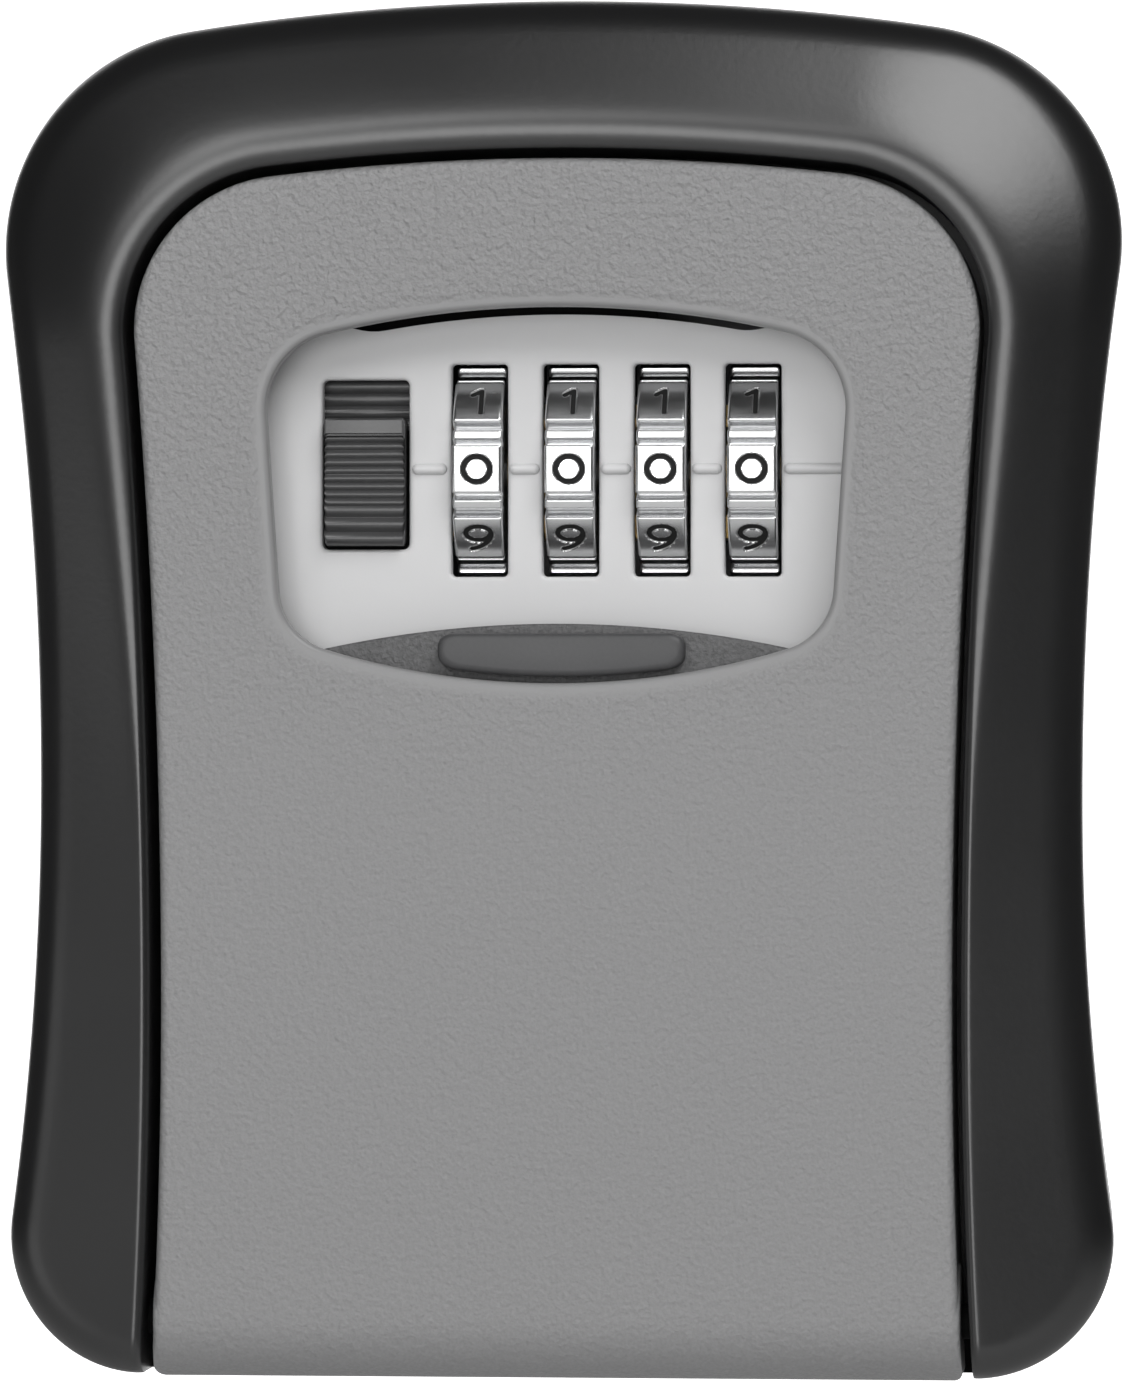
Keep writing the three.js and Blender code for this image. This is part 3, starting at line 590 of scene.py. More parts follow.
def index_mark(x0, x1, z, radius, high):
    """A raised bar with round ends: an ellipse in section, closed by shrinking rings."""
    rings = []
    for rise in np.linspace(0, math.pi / 2, 7):
        shrink = radius * (1 - math.cos(rise))
        wide, tall = x1 - x0 - 2 * shrink, 2 * radius - 2 * shrink
        ring = rounded_rectangle((x0 + x1) / 2, z, wide, tall, radius - shrink)
        rings.append(level_ring(ring, PANEL_FACE - 0.05 + high * math.sin(rise)))
    base = level_ring(rounded_rectangle((x0 + x1) / 2, z, x1 - x0, 2 * radius, radius), PANEL_FACE - 0.1)
    middle = np.broadcast_to(base.mean(0), base.shape)
    return np.stack([middle, base, *rings])


def make_marks():
    """One bar in each space between the slots, and a longer one out to the window's right edge."""
    gaps = [(-12.6, -9.6), (-4.35, -1.75), (3.4, 6.0), (11.15, 13.7), (18.9, 24.2)]
    bars = [index_mark(x0, x1, WHEEL_Z + 0.05, 0.48, 0.5) for x0, x1 in gaps]
    return join_grids(bars)


marks = make_piece("index_marks", *make_marks(), smooth_angle=60)

# %% [markdown]
# A number wheel is plated and has ten flat pads with a narrow ridge between each two. Round the wheel
# the radius is a function of the angle; across it the edges round off. The numbers are engraved: a
# number is a few strokes, and the distance to the nearest stroke gives how deep the cut is, so the
# same function also says later where the black paint lies.

# %% The strokes of the numbers
DIGIT_SIZE = np.array([3.9, 2.35])
STROKE = 0.24
PAD_HALF_ANGLE = math.radians(12)
PAD_BOW = 0.72
PITCH = 2 * math.pi / 10


def bend(x, z, rx, rz, start, end, count=13):
    """Points on part of an ellipse, with angles in degrees."""
    angle = np.radians(np.linspace(start, end, count))
    return np.stack([x + rx * np.cos(angle), z + rz * np.sin(angle)], -1)


def line(*points):
    """A stroke through the given points."""
    return np.array(points, float)


NUMBER_STROKES = {
    0: [bend(0, 0, 0.29, 0.47, 0, 360, count=33)],
    1: [line((-0.13, 0.3), (0.06, 0.5), (0.06, -0.5))],
    2: [bend(0, 0.22, 0.27, 0.28, 165, -35), line((0.22, 0.06), (-0.29, -0.5), (0.3, -0.5))],
    3: [bend(-0.02, 0.25, 0.26, 0.25, 150, -90), bend(-0.02, -0.24, 0.3, 0.26, 90, -150)],
    4: [line((0.13, -0.5), (0.13, 0.5), (-0.31, -0.2), (0.32, -0.2))],
    5: [line((0.26, 0.5), (-0.2, 0.5), (-0.25, 0.04)), bend(-0.01, -0.19, 0.29, 0.31, 125, -150)],
    6: [bend(0, -0.2, 0.28, 0.3, 0, 360), bend(0.3, -0.2, 0.58, 0.72, 180, 105)],
    7: [line((-0.3, 0.5), (0.3, 0.5), (-0.08, -0.5))],
    8: [bend(0, 0.26, 0.23, 0.24, 0, 360), bend(0, -0.23, 0.28, 0.27, 0, 360)],
}
NUMBER_STROKES[9] = [-stroke for stroke in NUMBER_STROKES[6]]


def ink_depth(across, angle):
    """1 inside a number's strokes and 0 outside, for places across a wheel and angles round it."""
    number = np.round(angle / PITCH).astype(int)
    up = WHEEL_R * np.tan(angle - number * PITCH)
    place = np.stack([across, up], -1)
    depth = np.zeros(across.shape)
    for digit, strokes in NUMBER_STROKES.items():
        here = (number % 10 == digit) & (np.abs(up) < 1.8)
        if here.any():
            gaps = [distance_to(stroke * DIGIT_SIZE, place[here], closed=False) for stroke in strokes]
            depth[here] = 1 - step_up(STROKE - 0.035, STROKE + 0.02, np.min(gaps, axis=0))
    return depth


# %% [markdown]
# All four wheels are the same casting. One is made with its middle at x = 0, and its mesh is copied
# and moved along the axle for the others, so that a change to the pads or the grooves is made once.

# %% One wheel
WHEEL_LOW, WHEEL_HIGH = box_mm("number_wheel_1")
WHEEL_HALF = (WHEEL_HIGH[0] - WHEEL_LOW[0]) / 2
WHEEL_R = (WHEEL_HIGH[2] - WHEEL_LOW[2]) / 2 - 0.02
WHEEL_BORE = 4.25
ENGRAVED = 0.22


def rim_radius(angle):
    """Radius round the wheel: nearly flat pads, and between two a groove, a ridge and a groove."""
    local = np.abs(angle - np.round(angle / PITCH) * PITCH)
    pad = WHEEL_R * math.cos(PAD_BOW * PAD_HALF_ANGLE) / np.cos(PAD_BOW * np.minimum(local, PAD_HALF_ANGLE))
    degrees = np.degrees(local)
    groove = 1.25 * step_up(11.6, 13.0, degrees)
    ridge = 0.95 * step_up(14.6, 16.0, degrees)
    soft = 0.1 * np.clip((degrees - 10.9) / 1.1, 0, 1) ** 2
    return pad - groove + ridge - soft


def make_wheel():
    """A loop across the wheel at each angle: bore, side, round edge, rim with numbers, and back."""
    angle = np.linspace(-math.pi, math.pi, 800, endpoint=False)
    rim = rim_radius(angle)
    across = np.linspace(-WHEEL_HALF + 0.3, WHEEL_HALF - 0.3, 47)
    edge = [(0, 0.34), (0.01, 0.2), (0.05, 0.1), (0.12, 0.04), (0.2, 0.01)]
    rows = [(-WHEEL_HALF, np.full_like(rim, WHEEL_BORE)), (-WHEEL_HALF, np.full_like(rim, 8.1))]
    rows += [(-WHEEL_HALF + inset, rim - drop) for inset, drop in edge]
    rows += [(x, rim - ENGRAVED * ink_depth(np.full_like(rim, x), angle)) for x in across]
    rows += [(WHEEL_HALF - inset, rim - drop) for inset, drop in reversed(edge)]
    rows += [(WHEEL_HALF, np.full_like(rim, 8.1)), (WHEEL_HALF, np.full_like(rim, WHEEL_BORE))]
    grid = [np.stack([np.full_like(r, x), WHEEL_Y - r * np.cos(angle), WHEEL_Z + r * np.sin(angle)], -1)
            for x, r in rows]
    return np.stack(grid)


def wheel_ink(points):
    """The paint in the numbers, at points of a wheel whose middle is at x = 0."""
    angle = np.arctan2(points[:, 2] - WHEEL_Z, WHEEL_Y - points[:, 1])
    radius = np.hypot(points[:, 2] - WHEEL_Z, WHEEL_Y - points[:, 1])
    return ink_depth(points[:, 0], angle) * (radius > 9)


def add_attribute(piece, name, values):
    """Stores one number for each point of the mesh, for its material to read."""
    attribute = piece.data.attributes.new(name, "FLOAT", "POINT")
    attribute.data.foreach_set("value", np.asarray(values, np.float32))


def points_of(piece):
    """The mesh's points as an array, in millimetres."""
    flat = np.zeros(len(piece.data.vertices) * 3, np.float32)
    piece.data.vertices.foreach_get("co", flat)
    return flat.reshape(-1, 3) / MM


wheels = [grid_piece("number_wheel_1_plated", make_wheel(), True, True, smooth_angle=50)]
add_attribute(wheels[0], "ink", wheel_ink(points_of(wheels[0])))
for number in (2, 3, 4):
    copy = bpy.data.objects.new(f"number_wheel_{number}_plated", wheels[0].data.copy())
    bpy.context.scene.collection.objects.link(copy)
    wheels.append(copy)
for wheel, x in zip(wheels, WHEEL_X):
    moved = points_of(wheel) * MM + np.array([x * MM, 0, 0])
    wheel.data.vertices.foreach_set("co", moved.astype(np.float32).ravel())
    wheel.data.update()

# %% [markdown]
# Long pieces of one section, such as the lever, are a closed profile carried along X. Its ends are the
# same profile drawn in a little, which leaves a soft edge all round.

# %% Profiles carried along X
def carried(name, profile, x0, x1, soft=0.12, **more):
    """A (depth, height) profile from x0 to x1 with soft edges at both ends."""
    profile = np.asarray(profile, float)
    centre = profile.mean(0)
    size = np.ptp(profile, axis=0).min()
    rows = []
    for x, shrink in ((x0, 1), (x0, 2 * soft / size), (x0 + 0.3 * soft, 0.6 * soft / size), (x0 + soft, 0),
                      (x1 - soft, 0), (x1 - 0.3 * soft, 0.6 * soft / size), (x1, 2 * soft / size), (x1, 1)):
        ring = profile + shrink * (centre - profile)
        rows.append(np.stack([np.full(len(ring), x), -ring[:, 0], ring[:, 1]], -1))
    return grid_piece(name, np.stack(rows), False, True, **more)


# %% [markdown]
# The lever is a moulded thumb piece: a smooth ledge at its top, fine ribs down its middle and coarser
# ones at its foot. A rib is the absolute value of a sine, which gives round crests and sharp valleys.

# %% The release lever
LEVER_LOW, LEVER_HIGH = box_mm("release_lever")
FINE_RIBS = dict(pitch=0.68, high=0.28)
COARSE_RIBS = dict(pitch=1.2, high=0.45, tall=3.4)
LEDGE = dict(tall=1.3, drop=0.85)


def lever_profile():
    """The thumb piece from the side: a flat back, and a front of rounded ribs with a ledge on top."""
    z = np.linspace(LEVER_LOW[2] + 0.25, LEVER_HIGH[2] - 0.2, 220)
    top, front = LEVER_HIGH[2], -LEVER_LOW[1]
    foot = LEVER_LOW[2] + COARSE_RIBS["tall"]
    fine = (z > foot) & (z < top - 1.5)
    ribs = np.where(fine, FINE_RIBS["high"] * np.abs(np.sin(np.pi * (z - top) / FINE_RIBS["pitch"])), 0)
    coarse = COARSE_RIBS["high"] * np.abs(np.sin(np.pi * (z - LEVER_LOW[2]) / COARSE_RIBS["pitch"]))
    ribs = ribs + np.where(z <= foot, coarse, 0)
    face = np.minimum(np.where(z > top - LEDGE["tall"], front, front - LEDGE["drop"]) + ribs, front)
    back = -LEVER_HIGH[1]
    return np.concatenate([[[back, LEVER_LOW[2]], [face[0] - 0.3, LEVER_LOW[2]]],
                           np.stack([face, z], -1), [[face[-1] - 0.3, top], [back, top]]])


lever = carried("lever_thumb_piece", lever_profile(), LEVER_LOW[0], LEVER_HIGH[0], soft=0.2,
                smooth_angle=50)

# %% [markdown]
# The bolt and its strike plate are small steel blocks with broken edges, seen when the door is open.
# The hook is a bent wire, so it is a circle carried along a curve with four control points, and its
# radius falls to nothing at the tip to close it with a round end.

# %% The bolt, the plate that it enters and the key hook
EDGE_CUT = 0.25
WIRE_R = 0.85
HOOK_KNOTS = [(3.4, 0.0), (8.7, -0.4), (9.9, -0.5), (9.75, 2.1)]
HOOK_PLATE = [(3.1, -2.5), (4.1, -2.5), (4.3, -2.3), (4.3, 3.3), (4.1, 3.5), (3.1, 3.5)]
HOOK_LOW, HOOK_HIGH = box_mm("key_hook")


def block_profile(low, high, nose):
    """A block's side view from its corners, with cut edges and a sloped nose at its top."""
    cut = EDGE_CUT
    back, front, bottom, top = -high[1], -low[1], low[2], high[2]
    return [(back + cut, bottom), (front - cut, bottom), (front, bottom + cut), (front, top - cut - nose),
            (front - cut - nose, top), (back + cut, top), (back, top - cut), (back, bottom + cut)]


def carried_block(name, node, nose=0.0):
    """A block's side view carried across its CAD box."""
    low, high = box_mm(node)
    return carried(name, block_profile(low, high, nose), low[0], high[0], soft=0.2)


def make_hook():
    """A round wire on a curve that leaves the back wall and turns up, with a round end."""
    way = np.linspace(0, 1, 40)[:, None]
    blend = [(1 - way) ** 3, 3 * way * (1 - way) ** 2, 3 * way ** 2 * (1 - way), way ** 3]
    middle = sum(share * np.array(knot) for share, knot in zip(blend, HOOK_KNOTS))
    along = np.gradient(middle, axis=0)
    along = along / np.linalg.norm(along, axis=1)[:, None]
    aside = np.stack([-along[:, 1], along[:, 0]], -1)
    left = np.minimum((1 - way[:, 0]) * 8, WIRE_R)
    radius = np.sqrt(np.clip(WIRE_R ** 2 - (WIRE_R - left) ** 2, 0, None))
    radius[0] = 0
    angle = np.linspace(0, 2 * math.pi, 24, endpoint=False)
    flat = middle[:, None] + (radius[:, None] * np.cos(angle))[..., None] * aside[:, None]
    return np.stack([radius[:, None] * np.sin(angle), -flat[..., 0], flat[..., 1]], -1)


bolt = carried_block("latch_bolt_nosed", "latch_bolt", nose=0.9)
strike = carried_block("strike_plate_soft", "strike_plate")
hook_wire = grid_piece("key_hook_wire", make_hook(), False, True, smooth_angle=60)
hook_plate = carried("key_hook_plate", HOOK_PLATE, HOOK_LOW[0], HOOK_HIGH[0], soft=0.3)

# %% [markdown]
# Above the thumb piece the slot shows the slide behind it, which is ribbed too. It is one more profile
# carried along X, a little wider than the slot, and it moves with the lever.

# %% The ribbed cover over the slide behind the lever
SLIDE_FACE = -box_mm("latch_plate")[0][1]
SLIDE_HALF = 3.75
SLIDE_RIBS = dict(pitch=1.1, high=0.3)


def slide_profile():
    """A thin plate with shallow ribs, seen in the slot above the thumb piece."""
    z = np.linspace(LEVER_HIGH[2] - 1, LEVER_HIGH[2] + 6.6, 160)
    ribs = SLIDE_RIBS["high"] * np.abs(np.sin(np.pi * (z - LEVER_HIGH[2]) / SLIDE_RIBS["pitch"])) ** 0.7
    ribbed = np.stack([SLIDE_FACE + 0.05 + ribs, z], -1)
    return np.concatenate([[[SLIDE_FACE, z[0]]], ribbed, [[SLIDE_FACE, z[-1]]]])


slide = carried("lever_slide_cover", slide_profile(), LEVER_SLOT["x"] - SLIDE_HALF,
                LEVER_SLOT["x"] + SLIDE_HALF, soft=0.04, smooth_angle=60)

# %% [markdown]
# The shutter is a thin slide behind the door's skin. Open, it is stowed in the door's lower half, and
# only its arched top edge and its finger tab show in the window. The tab's lower edge sags with the
# window's, so it is a strip whose two edges are different curves.

# %% The shutter and its tab
SHUTTER_LOW, SHUTTER_HIGH = box_mm("shutter_plate")
TAB_LOW, TAB_HIGH = box_mm("shutter_tab")
SHUTTER_ARCH = 93


def strip_piece(name, x, low, high, back, front, soft, ends=0.0, **more):
    """A plate between a lower and an upper curve over x, its front edge rounded by soft."""
    middle, half = (low + high) / 2, (high - low) / 2
    squeeze = np.ones_like(x)
    if ends:
        side = np.minimum(x - x[0], x[-1] - x)
        squeeze = 0.35 + 0.65 * np.sqrt(np.clip(1 - (1 - np.minimum(side / ends, 1)) ** 2, 0, 1))
    rows = []
    rounds = [(0.0, back), (0.0, front - soft), (0.08 * soft, front - 0.6 * soft),
              (0.3 * soft, front - 0.29 * soft), (0.6 * soft, front - 0.08 * soft), (soft, front)]
    centre = x.mean()
    for inset, height in [(None, back), *rounds, (None, front)]:
        if inset is None:
            inner = centre + (1 - (soft if height == front else 0) / (x[-1] - centre)) * (x - centre)
            spine = np.stack([inner, middle], -1)
            ring = np.concatenate([spine, spine[::-1]])
        else:
            stretch = 1 - inset / (x[-1] - centre)
            tall = np.maximum(half * squeeze - inset, 0)
            upper = np.stack([centre + stretch * (x - centre), middle + tall], -1)
            lower = np.stack([centre + stretch * (x - centre), middle - tall], -1)
            ring = np.concatenate([upper, lower[::-1]])
        rows.append(level_ring(ring, height))
    return grid_piece(name, np.stack(rows), False, True, **more)


def shutter_curves():
    """Across the shutter: an arched top edge and a straight bottom edge."""
    x = np.linspace(SHUTTER_LOW[0], SHUTTER_HIGH[0], 121)
    top = SHUTTER_HIGH[2] - SHUTTER_ARCH + np.sqrt(SHUTTER_ARCH ** 2 - x ** 2)
    return x, np.full_like(x, SHUTTER_LOW[2]), top


def tab_curves():
    """Across the tab: a flat top edge and an edge that sags with the window's."""
    x = np.linspace(TAB_LOW[0], TAB_HIGH[0], 121)
    sag = WINDOW["bottom"] + WINDOW["sag_r"] - np.sqrt(WINDOW["sag_r"] ** 2 - (x - 0.5) ** 2)
    return x, sag + 0.55, np.full_like(x, TAB_HIGH[2])


shutter = strip_piece("shutter_slide_plate", *shutter_curves(), -SHUTTER_HIGH[1], -SHUTTER_LOW[1], 0.3)
tab = strip_piece("shutter_finger_tab", *tab_curves(), -SHUTTER_LOW[1] - 0.05, -TAB_LOW[1], 0.55, ends=1.5,
                  smooth_angle=60)

# %% [markdown]
# Materials are small node trees. Their arithmetic is written as Python expressions: a value wraps a
# socket, and each operator adds one Math node. Colours are mixed by Mix nodes.

# %% Shader values as Python expressions
class Value:
    """A shader socket that arithmetic works on; each operator adds a Math node."""

    def __init__(self, tree, socket):
        self.tree, self.socket = tree, socket

    def math(self, operation, *others):
        node = self.tree.nodes.new("ShaderNodeMath")
        node.operation = operation
        for place, value in zip(node.inputs, (self, *others)):
            connect(self.tree, place, value)
        return Value(self.tree, node.outputs[0])

    def __add__(self, other):
        return self.math("ADD", other)

    def __sub__(self, other):
        return self.math("SUBTRACT", other)

    def __mul__(self, other):
        return self.math("MULTIPLY", other)

    def __rsub__(self, other):
        return (self * -1) + other

    __radd__, __rmul__ = __add__, __mul__

    def clamped(self):
        return self.math("MAXIMUM", 0.0).math("MINIMUM", 1.0)

    def rising(self, low, high):
        """0 below low, 1 above high, and straight in between."""
        return ((self - low) * (1 / (high - low))).clamped()


def connect(tree, place, value):
    """Links a value to a socket, or sets the socket to a constant."""
    if isinstance(value, Value):
        tree.links.new(value.socket, place)
    else:
        place.default_value = value


class Finish:
    """A material and the one method that adds any node to it."""

    def __init__(self, name, color, roughness, metallic=0.0, **constants):
        self.material = bpy.data.materials.new(name)
        self.material.use_nodes = True
        self.tree = self.material.node_tree
        self.shader = self.tree.nodes["Principled BSDF"]
        self.material.diffuse_color = (*color, 1)
        self.set("Base Color", (*color, 1))
        self.set("Roughness", roughness)
        self.set("Metallic", metallic)
        for socket, value in constants.items():
            self.set(socket.replace("_", " "), value)

    def set(self, socket, value):
        connect(self.tree, self.shader.inputs[socket], value)

    def node(self, kind, settings=(), output=0, **inputs):
        """Adds a node: its settings first, then its sockets' values or links. A socket is given by its
        name, or by its number after a letter, as in i6."""
        node = self.tree.nodes.new("ShaderNode" + kind)
        for name, value in dict(settings).items():
            setattr(node, name, value)
        for name, value in inputs.items():
            connect(self.tree, node.inputs[int(name[1:]) if name[1:].isdigit() else name], value)
        return Value(self.tree, node.outputs[output])

    def place(self):
        return self.node("TexCoord", output=3)

    def noise(self, size_mm, detail=2.0, stretch=(1, 1, 1)):
        """Noise whose blobs are about size_mm across, from 0 to 1."""
        scale = tuple(s / (size_mm * MM) for s in stretch)
        spread = self.node("Mapping", Vector=self.place(), Scale=scale)
        return self.node("TexNoise", Vector=spread, Scale=1.0, Detail=detail)

    def attribute(self, name):
        """A measure that add_attribute left on the piece's points."""
        return self.node("Attribute", {"attribute_name": name}, output=2)

    def mixed(self, factor, first, second):
        """A colour between two colours."""
        ends = [color if isinstance(color, Value) else (*color, 1) for color in (first, second)]
        return self.node("Mix", {"data_type": "RGBA"}, output=2, i0=factor, i6=ends[0], i7=ends[1])

    def bump(self, height, high_mm):
        """Feeds a height from 0 to 1, high_mm tall, to the shader's normal."""
        self.set("Normal", self.node("Bump", Strength=1.0, Distance=high_mm * MM, Height=height))


def paint(piece, finish):
    """Gives a piece or a CAD node its material."""
    piece.data.materials.clear()
    piece.data.materials.append(finish.material)


# %% [markdown]
# The casting is powder-coated black: a satin coat with a very fine, shallow orange peel. The door's
# grey paint has a coarser peel, which is what breaks its highlights into grain; the border round the
# window is left smooth.

# %% The coats
def black_coat():
    """Fine noise for the peel, and slow noise that varies the gloss."""
    finish = Finish("black_powder_coat", (0.005, 0.005, 0.0053), 0.36, IOR=1.75)
    grain = finish.noise(0.55, detail=3)
    broad = finish.noise(18, detail=1)
    finish.set("Roughness", 0.26 + 0.06 * broad + 0.04 * grain)
    finish.bump(grain, 0.008)
    return finish


def grey_coat():
    """Coarse noise for the peel, fading out in the smooth border, and weaker towards the foot."""
    finish = Finish("grey_peel_paint", (0.24, 0.24, 0.243), 0.55)
    grain = finish.noise(0.62, detail=2).rising(0.32, 0.68)
    speck = finish.noise(0.3, detail=1)
    smooth = finish.attribute("border")
    height = finish.node("SeparateXYZ", output=2, Vector=finish.place())
    coarse = 0.45 + 0.55 * height.rising(-0.01, 0.035)
    rough_color = finish.mixed(speck, (0.21, 0.21, 0.212), (0.28, 0.28, 0.282))
    finish.set("Base Color", finish.mixed(smooth, rough_color, (0.245, 0.245, 0.247)))
    finish.set("Roughness", 0.5 - 0.12 * smooth)
    finish.bump((grain * 0.8 + speck * 0.2) * (1 - smooth) * coarse, 0.15)
    return finish


BLACK_COAT, GREY_COAT = black_coat(), grey_coat()
window_gap = distance_to(window_ring, points_of(door)[:, [0, 2]])
add_attribute(door, "border", 1 - step_up(0.6, 1.5, window_gap))
print("points in the smooth border:", int((window_gap < 1.5).sum()))

# %% [markdown]
# The plastics differ by their grain. The panel is smooth and satin with a faint cloudiness, the lever
# and the tab are plain mouldings, and the shutter has a sandy texture, so its colour and its height
# both follow one noise with a wide spread between its dark and its light places.

# %% The plastics
def pale_plastic():
    """Satin and pale: slow noise clouds the colour and the gloss, and fine noise the height."""
    finish = Finish("pale_satin_plastic", (0.6, 0.6, 0.605), 0.42)
    grain = finish.noise(0.25, detail=1)
    broad = finish.noise(9, detail=1)
    finish.set("Roughness", 0.38 + 0.08 * broad)
    finish.set("Base Color", finish.mixed(broad, (0.59, 0.59, 0.595), (0.63, 0.63, 0.635)))
    finish.bump(grain, 0.004)
    return finish


def moulded_plastic(name, color, roughness, grain_mm=0.3, high_mm=0.01, spread=1.25, **constants):
    """One noise for the grain's colour and height, and a slow one for the gloss."""
    finish = Finish(name, color, roughness, **constants)
    grain = finish.noise(grain_mm, detail=2)
    broad = finish.noise(7, detail=1)
    finish.set("Roughness", roughness - 0.04 + 0.08 * broad)
    lighter = tuple(spread * c for c in color)
    finish.set("Base Color", finish.mixed(grain, color, lighter))
    finish.bump(grain, high_mm)
    return finish


PALE = pale_plastic()
BLACK_PLASTIC = moulded_plastic("black_moulded_plastic", (0.05, 0.05, 0.051), 0.34, IOR=1.6)
SHUTTER_PLASTIC = moulded_plastic("shutter_textured_plastic", (0.045, 0.045, 0.046), 0.5, 0.34, 0.16,
                                  spread=3.2)
TAB_PLASTIC = moulded_plastic("tab_smooth_plastic", (0.052, 0.052, 0.054), 0.45, 0.3, 0.004)
# A near-black, dull steel for the hinge pin and the latch plate. Its colour and weak gloss are partly painted
# shade: they keep the latch plate, seen through the gap above the dial plate, and the hinge pin's ends as dark as
# the shade in those gaps.
BLACK_STEEL_WITH_PAINTED_SHADE = moulded_plastic("black_steel_painted_shade", (0.003, 0.003, 0.003), 0.8, IOR=1.3)

# %% [markdown]
# The wheels are plated, and black paint fills their numbers. The paint isn't a second piece: the ink
# attribute says how deep in a stroke each point lies, and it turns the metal off and the roughness
# up. The plain metals are brushed, which is noise stretched along the brush's way.

# %% The metals
CHROME_COLOR = (0.72, 0.725, 0.73)


def chrome_with_ink():
    """Smeared chrome outside the strokes of the numbers, and matt black inside them."""
    finish = Finish("plated_with_black_numbers", CHROME_COLOR, 0.16, 1.0)
    ink = finish.attribute("ink").rising(0.35, 0.75)
    smear = finish.noise(0.7, detail=2, stretch=(0.3, 1, 1))
    finish.set("Base Color", finish.mixed(ink, CHROME_COLOR, (0.003, 0.003, 0.003)))
    finish.set("Metallic", 1 - ink)
    finish.set("Roughness", 0.2 + 0.1 * smear + 0.55 * ink)
    return finish


def brushed_metal(name, color, roughness, along=(1, 8, 8)):
    """Fine stretched noise for the gloss and the height, and slow noise for the colour."""
    finish = Finish(name, color, roughness, 1.0)
    lines = finish.noise(0.9, detail=3, stretch=along)
    blotch = finish.noise(6, detail=2)
    finish.set("Roughness", roughness - 0.06 + 0.12 * lines)
    darker = tuple(0.8 * c for c in color)
    finish.set("Base Color", finish.mixed(blotch, color, darker))
    finish.bump(lines, 0.004)
    return finish


CHROME = chrome_with_ink()
STEEL = brushed_metal("zinc_plated_steel", (0.56, 0.56, 0.57), 0.36)
SPRING_STEEL = brushed_metal("spring_steel", (0.4, 0.4, 0.42), 0.3)
BRASS = brushed_metal("turned_brass", (0.66, 0.46, 0.18), 0.32, along=(8, 1, 1))

# %% [markdown]
# The frame's record names a material slot for each CAD node. A finish for each slot covers the nodes
# that stay as they are, such as the back cover and the frame of the lock, as well as the new pieces.

# %% A finish for each slot
SLOT_FINISH = {
    "black_paint": BLACK_COAT, "grey_paint": GREY_COAT, "pale_plastic": PALE,
    "black_plastic": BLACK_PLASTIC, "shutter_plastic": SHUTTER_PLASTIC, "tab_plastic": TAB_PLASTIC,
    "chrome": CHROME, "steel": STEEL, "black_steel": BLACK_STEEL_WITH_PAINTED_SHADE, "spring_steel": SPRING_STEEL,
    "brass": BRASS,
}
for row in frame["record"]["subparts"]:
    paint(frame["nodes"][row["node"]], SLOT_FINISH[row["material_slot"]])

# %% [markdown]
# Each new piece rides on the body that it belongs to, and takes the place of the plain CAD node.

# %% Riding and replacing
def put(piece, body, slot, *nodes):
    """Paints a piece, makes it ride on its body and hides the nodes that it stands for."""
    paint(piece, SLOT_FINISH[slot])
    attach(piece, body)
    if nodes:
        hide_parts(*nodes)


put(housing, "housing", "black_paint", "housing_shell")
put(door, "door", "grey_paint", "door_shell")
put(door_barrel, "door", "grey_paint")
put(panel, "door", "pale_plastic", "dial_panel")
put(marks, "door", "pale_plastic")
put(lever, "latch", "black_plastic", "release_lever")
put(slide, "latch", "black_plastic")
put(bolt, "latch", "steel", "latch_bolt")
put(strike, "housing", "steel", "strike_plate")
put(hook_wire, "housing", "steel", "key_hook")
put(hook_plate, "housing", "steel")
put(hinge_rod, "housing", "black_steel", "hinge_pin")
for number, screw in enumerate(screws, 1):
    put(screw, "door", "steel", f"cover_screw_{number}")
put(shutter, "shutter", "shutter_plastic", "shutter_plate")
put(tab, "shutter", "tab_plastic", "shutter_tab")
for number, wheel in enumerate(wheels, 1):
    put(wheel, f"wheel_{number}", "chrome", f"number_wheel_{number}")

# %% [markdown]
# The box is shown as a shop would show it: nearly square on, from a little to the right, before a
# white board. Black satin shows little but what it reflects, so each light is there for an edge: the
# key for the right shoulder, the broad front light for the bead and the door, the strips for the
# wheels' upper and lower pads, and the rest to keep the left side from going black.

# %% Floor, lights and camera
FLOOR_Z = -0.185
BACKDROP_Y = 1.2
CAMERA_TURN = math.radians(5)
CAMERA_AWAY = 0.7
VIEW_TALL = 0.11688
SENSOR = 24
SURROUND = 0.06
LOOK_AT = (0.0003, -0.033, -0.0002)


def floor_plane():
    """A plain pale floor below the box."""
    bpy.ops.mesh.primitive_plane_add(size=6, location=(0, 0, FLOOR_Z))
    floor = bpy.context.object
    floor.name = "floor"
    finish = Finish("floor_paper", (0.86, 0.86, 0.86), 0.7)
    floor.data.materials.append(finish.material)


def soft_light(name, place, aim, size, power):
    """A rectangular lamp at a place, turned to face its aim."""
    light = bpy.data.lights.new(name, "AREA")
    light.shape, light.size, light.size_y, light.energy = "RECTANGLE", size[0], size[1], power
    lamp = bpy.data.objects.new(name, light)
    bpy.context.scene.collection.objects.link(lamp)
    lamp.location = place
    lamp.rotation_euler = (Vector(aim) - Vector(place)).to_track_quat("-Z", "Y").to_euler()


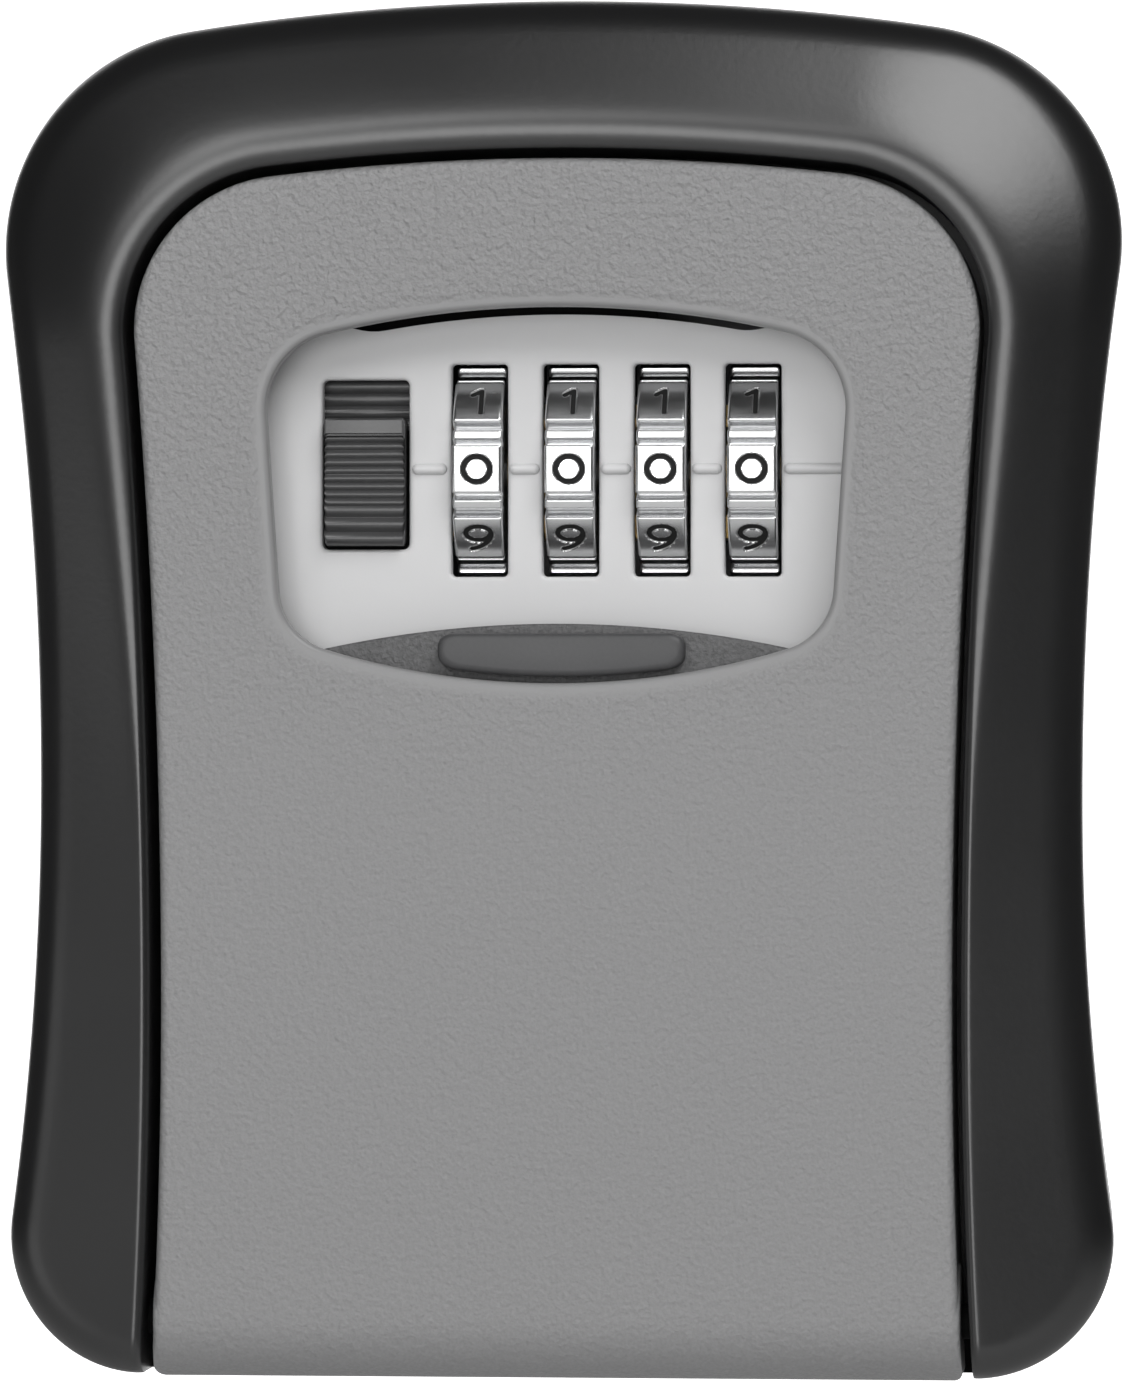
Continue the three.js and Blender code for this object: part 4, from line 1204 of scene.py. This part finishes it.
def make_camera():
    """A long lens at a set distance, level, and turned a little round the box."""
    camera = bpy.data.cameras.new("camera")
    camera.sensor_fit = "VERTICAL"
    camera.sensor_height = SENSOR
    camera.lens = SENSOR * CAMERA_AWAY / VIEW_TALL
    camera.clip_end = 20
    eye = bpy.data.objects.new("camera", camera)
    bpy.context.scene.collection.objects.link(eye)
    aside, back = CAMERA_AWAY * math.sin(CAMERA_TURN), CAMERA_AWAY * math.cos(CAMERA_TURN)
    eye.location = (LOOK_AT[0] + aside, LOOK_AT[1] - back, LOOK_AT[2])
    eye.rotation_euler = (math.pi / 2, 0, CAMERA_TURN)
    bpy.context.scene.camera = eye


def backdrop():
    """A small white board far behind the box, which glows so that it stays white."""
    upright = (math.pi / 2, 0, 0)
    bpy.ops.mesh.primitive_plane_add(size=1.4, location=(-0.1, BACKDROP_Y, 0.2), rotation=upright)
    board = bpy.context.object
    board.name = "backdrop"
    finish = Finish("backdrop_paper", (0.9, 0.9, 0.9), 0.8)
    finish.set("Emission Color", (1, 1, 1, 1))
    finish.set("Emission Strength", 1.0)
    board.data.materials.append(finish.material)


floor_plane()
backdrop()
world = bpy.data.worlds.new("surround")
world.use_nodes = True
world.node_tree.nodes["Background"].inputs[0].default_value = (1, 1, 1, 1)
world.node_tree.nodes["Background"].inputs[1].default_value = SURROUND
bpy.context.scene.world = world
bpy.context.scene.view_settings.view_transform = "Standard"
soft_light("key", (0.36, -0.55, 0.63), (0, -0.03, 0.0), (0.48, 0.6), 4.7)
soft_light("front", (-0.08, -1.4, 0.05), (0, -0.03, 0.0), (0.65, 0.65), 5.4)
soft_light("upper_strip", (-0.1, -1.0, 0.68), (0, -0.03, 0.02), (0.7, 0.2), 1.0)
soft_light("lower_strip", (-0.1, -1.0, -0.68), (0, -0.03, 0.02), (0.7, 0.25), 1.0)
soft_light("near_left", (-0.14, -0.34, 0.2), (-0.01, -0.03, 0.01), (0.16, 0.16), 0.2)
soft_light("tent", (-0.6, -1.6, 0.2), (0, -0.03, 0.0), (1.2, 2.2), 1.6)
soft_light("fill", (-0.62, -0.42, -0.3), (0, -0.03, -0.02), (0.4, 0.6), 0.8)
make_camera()
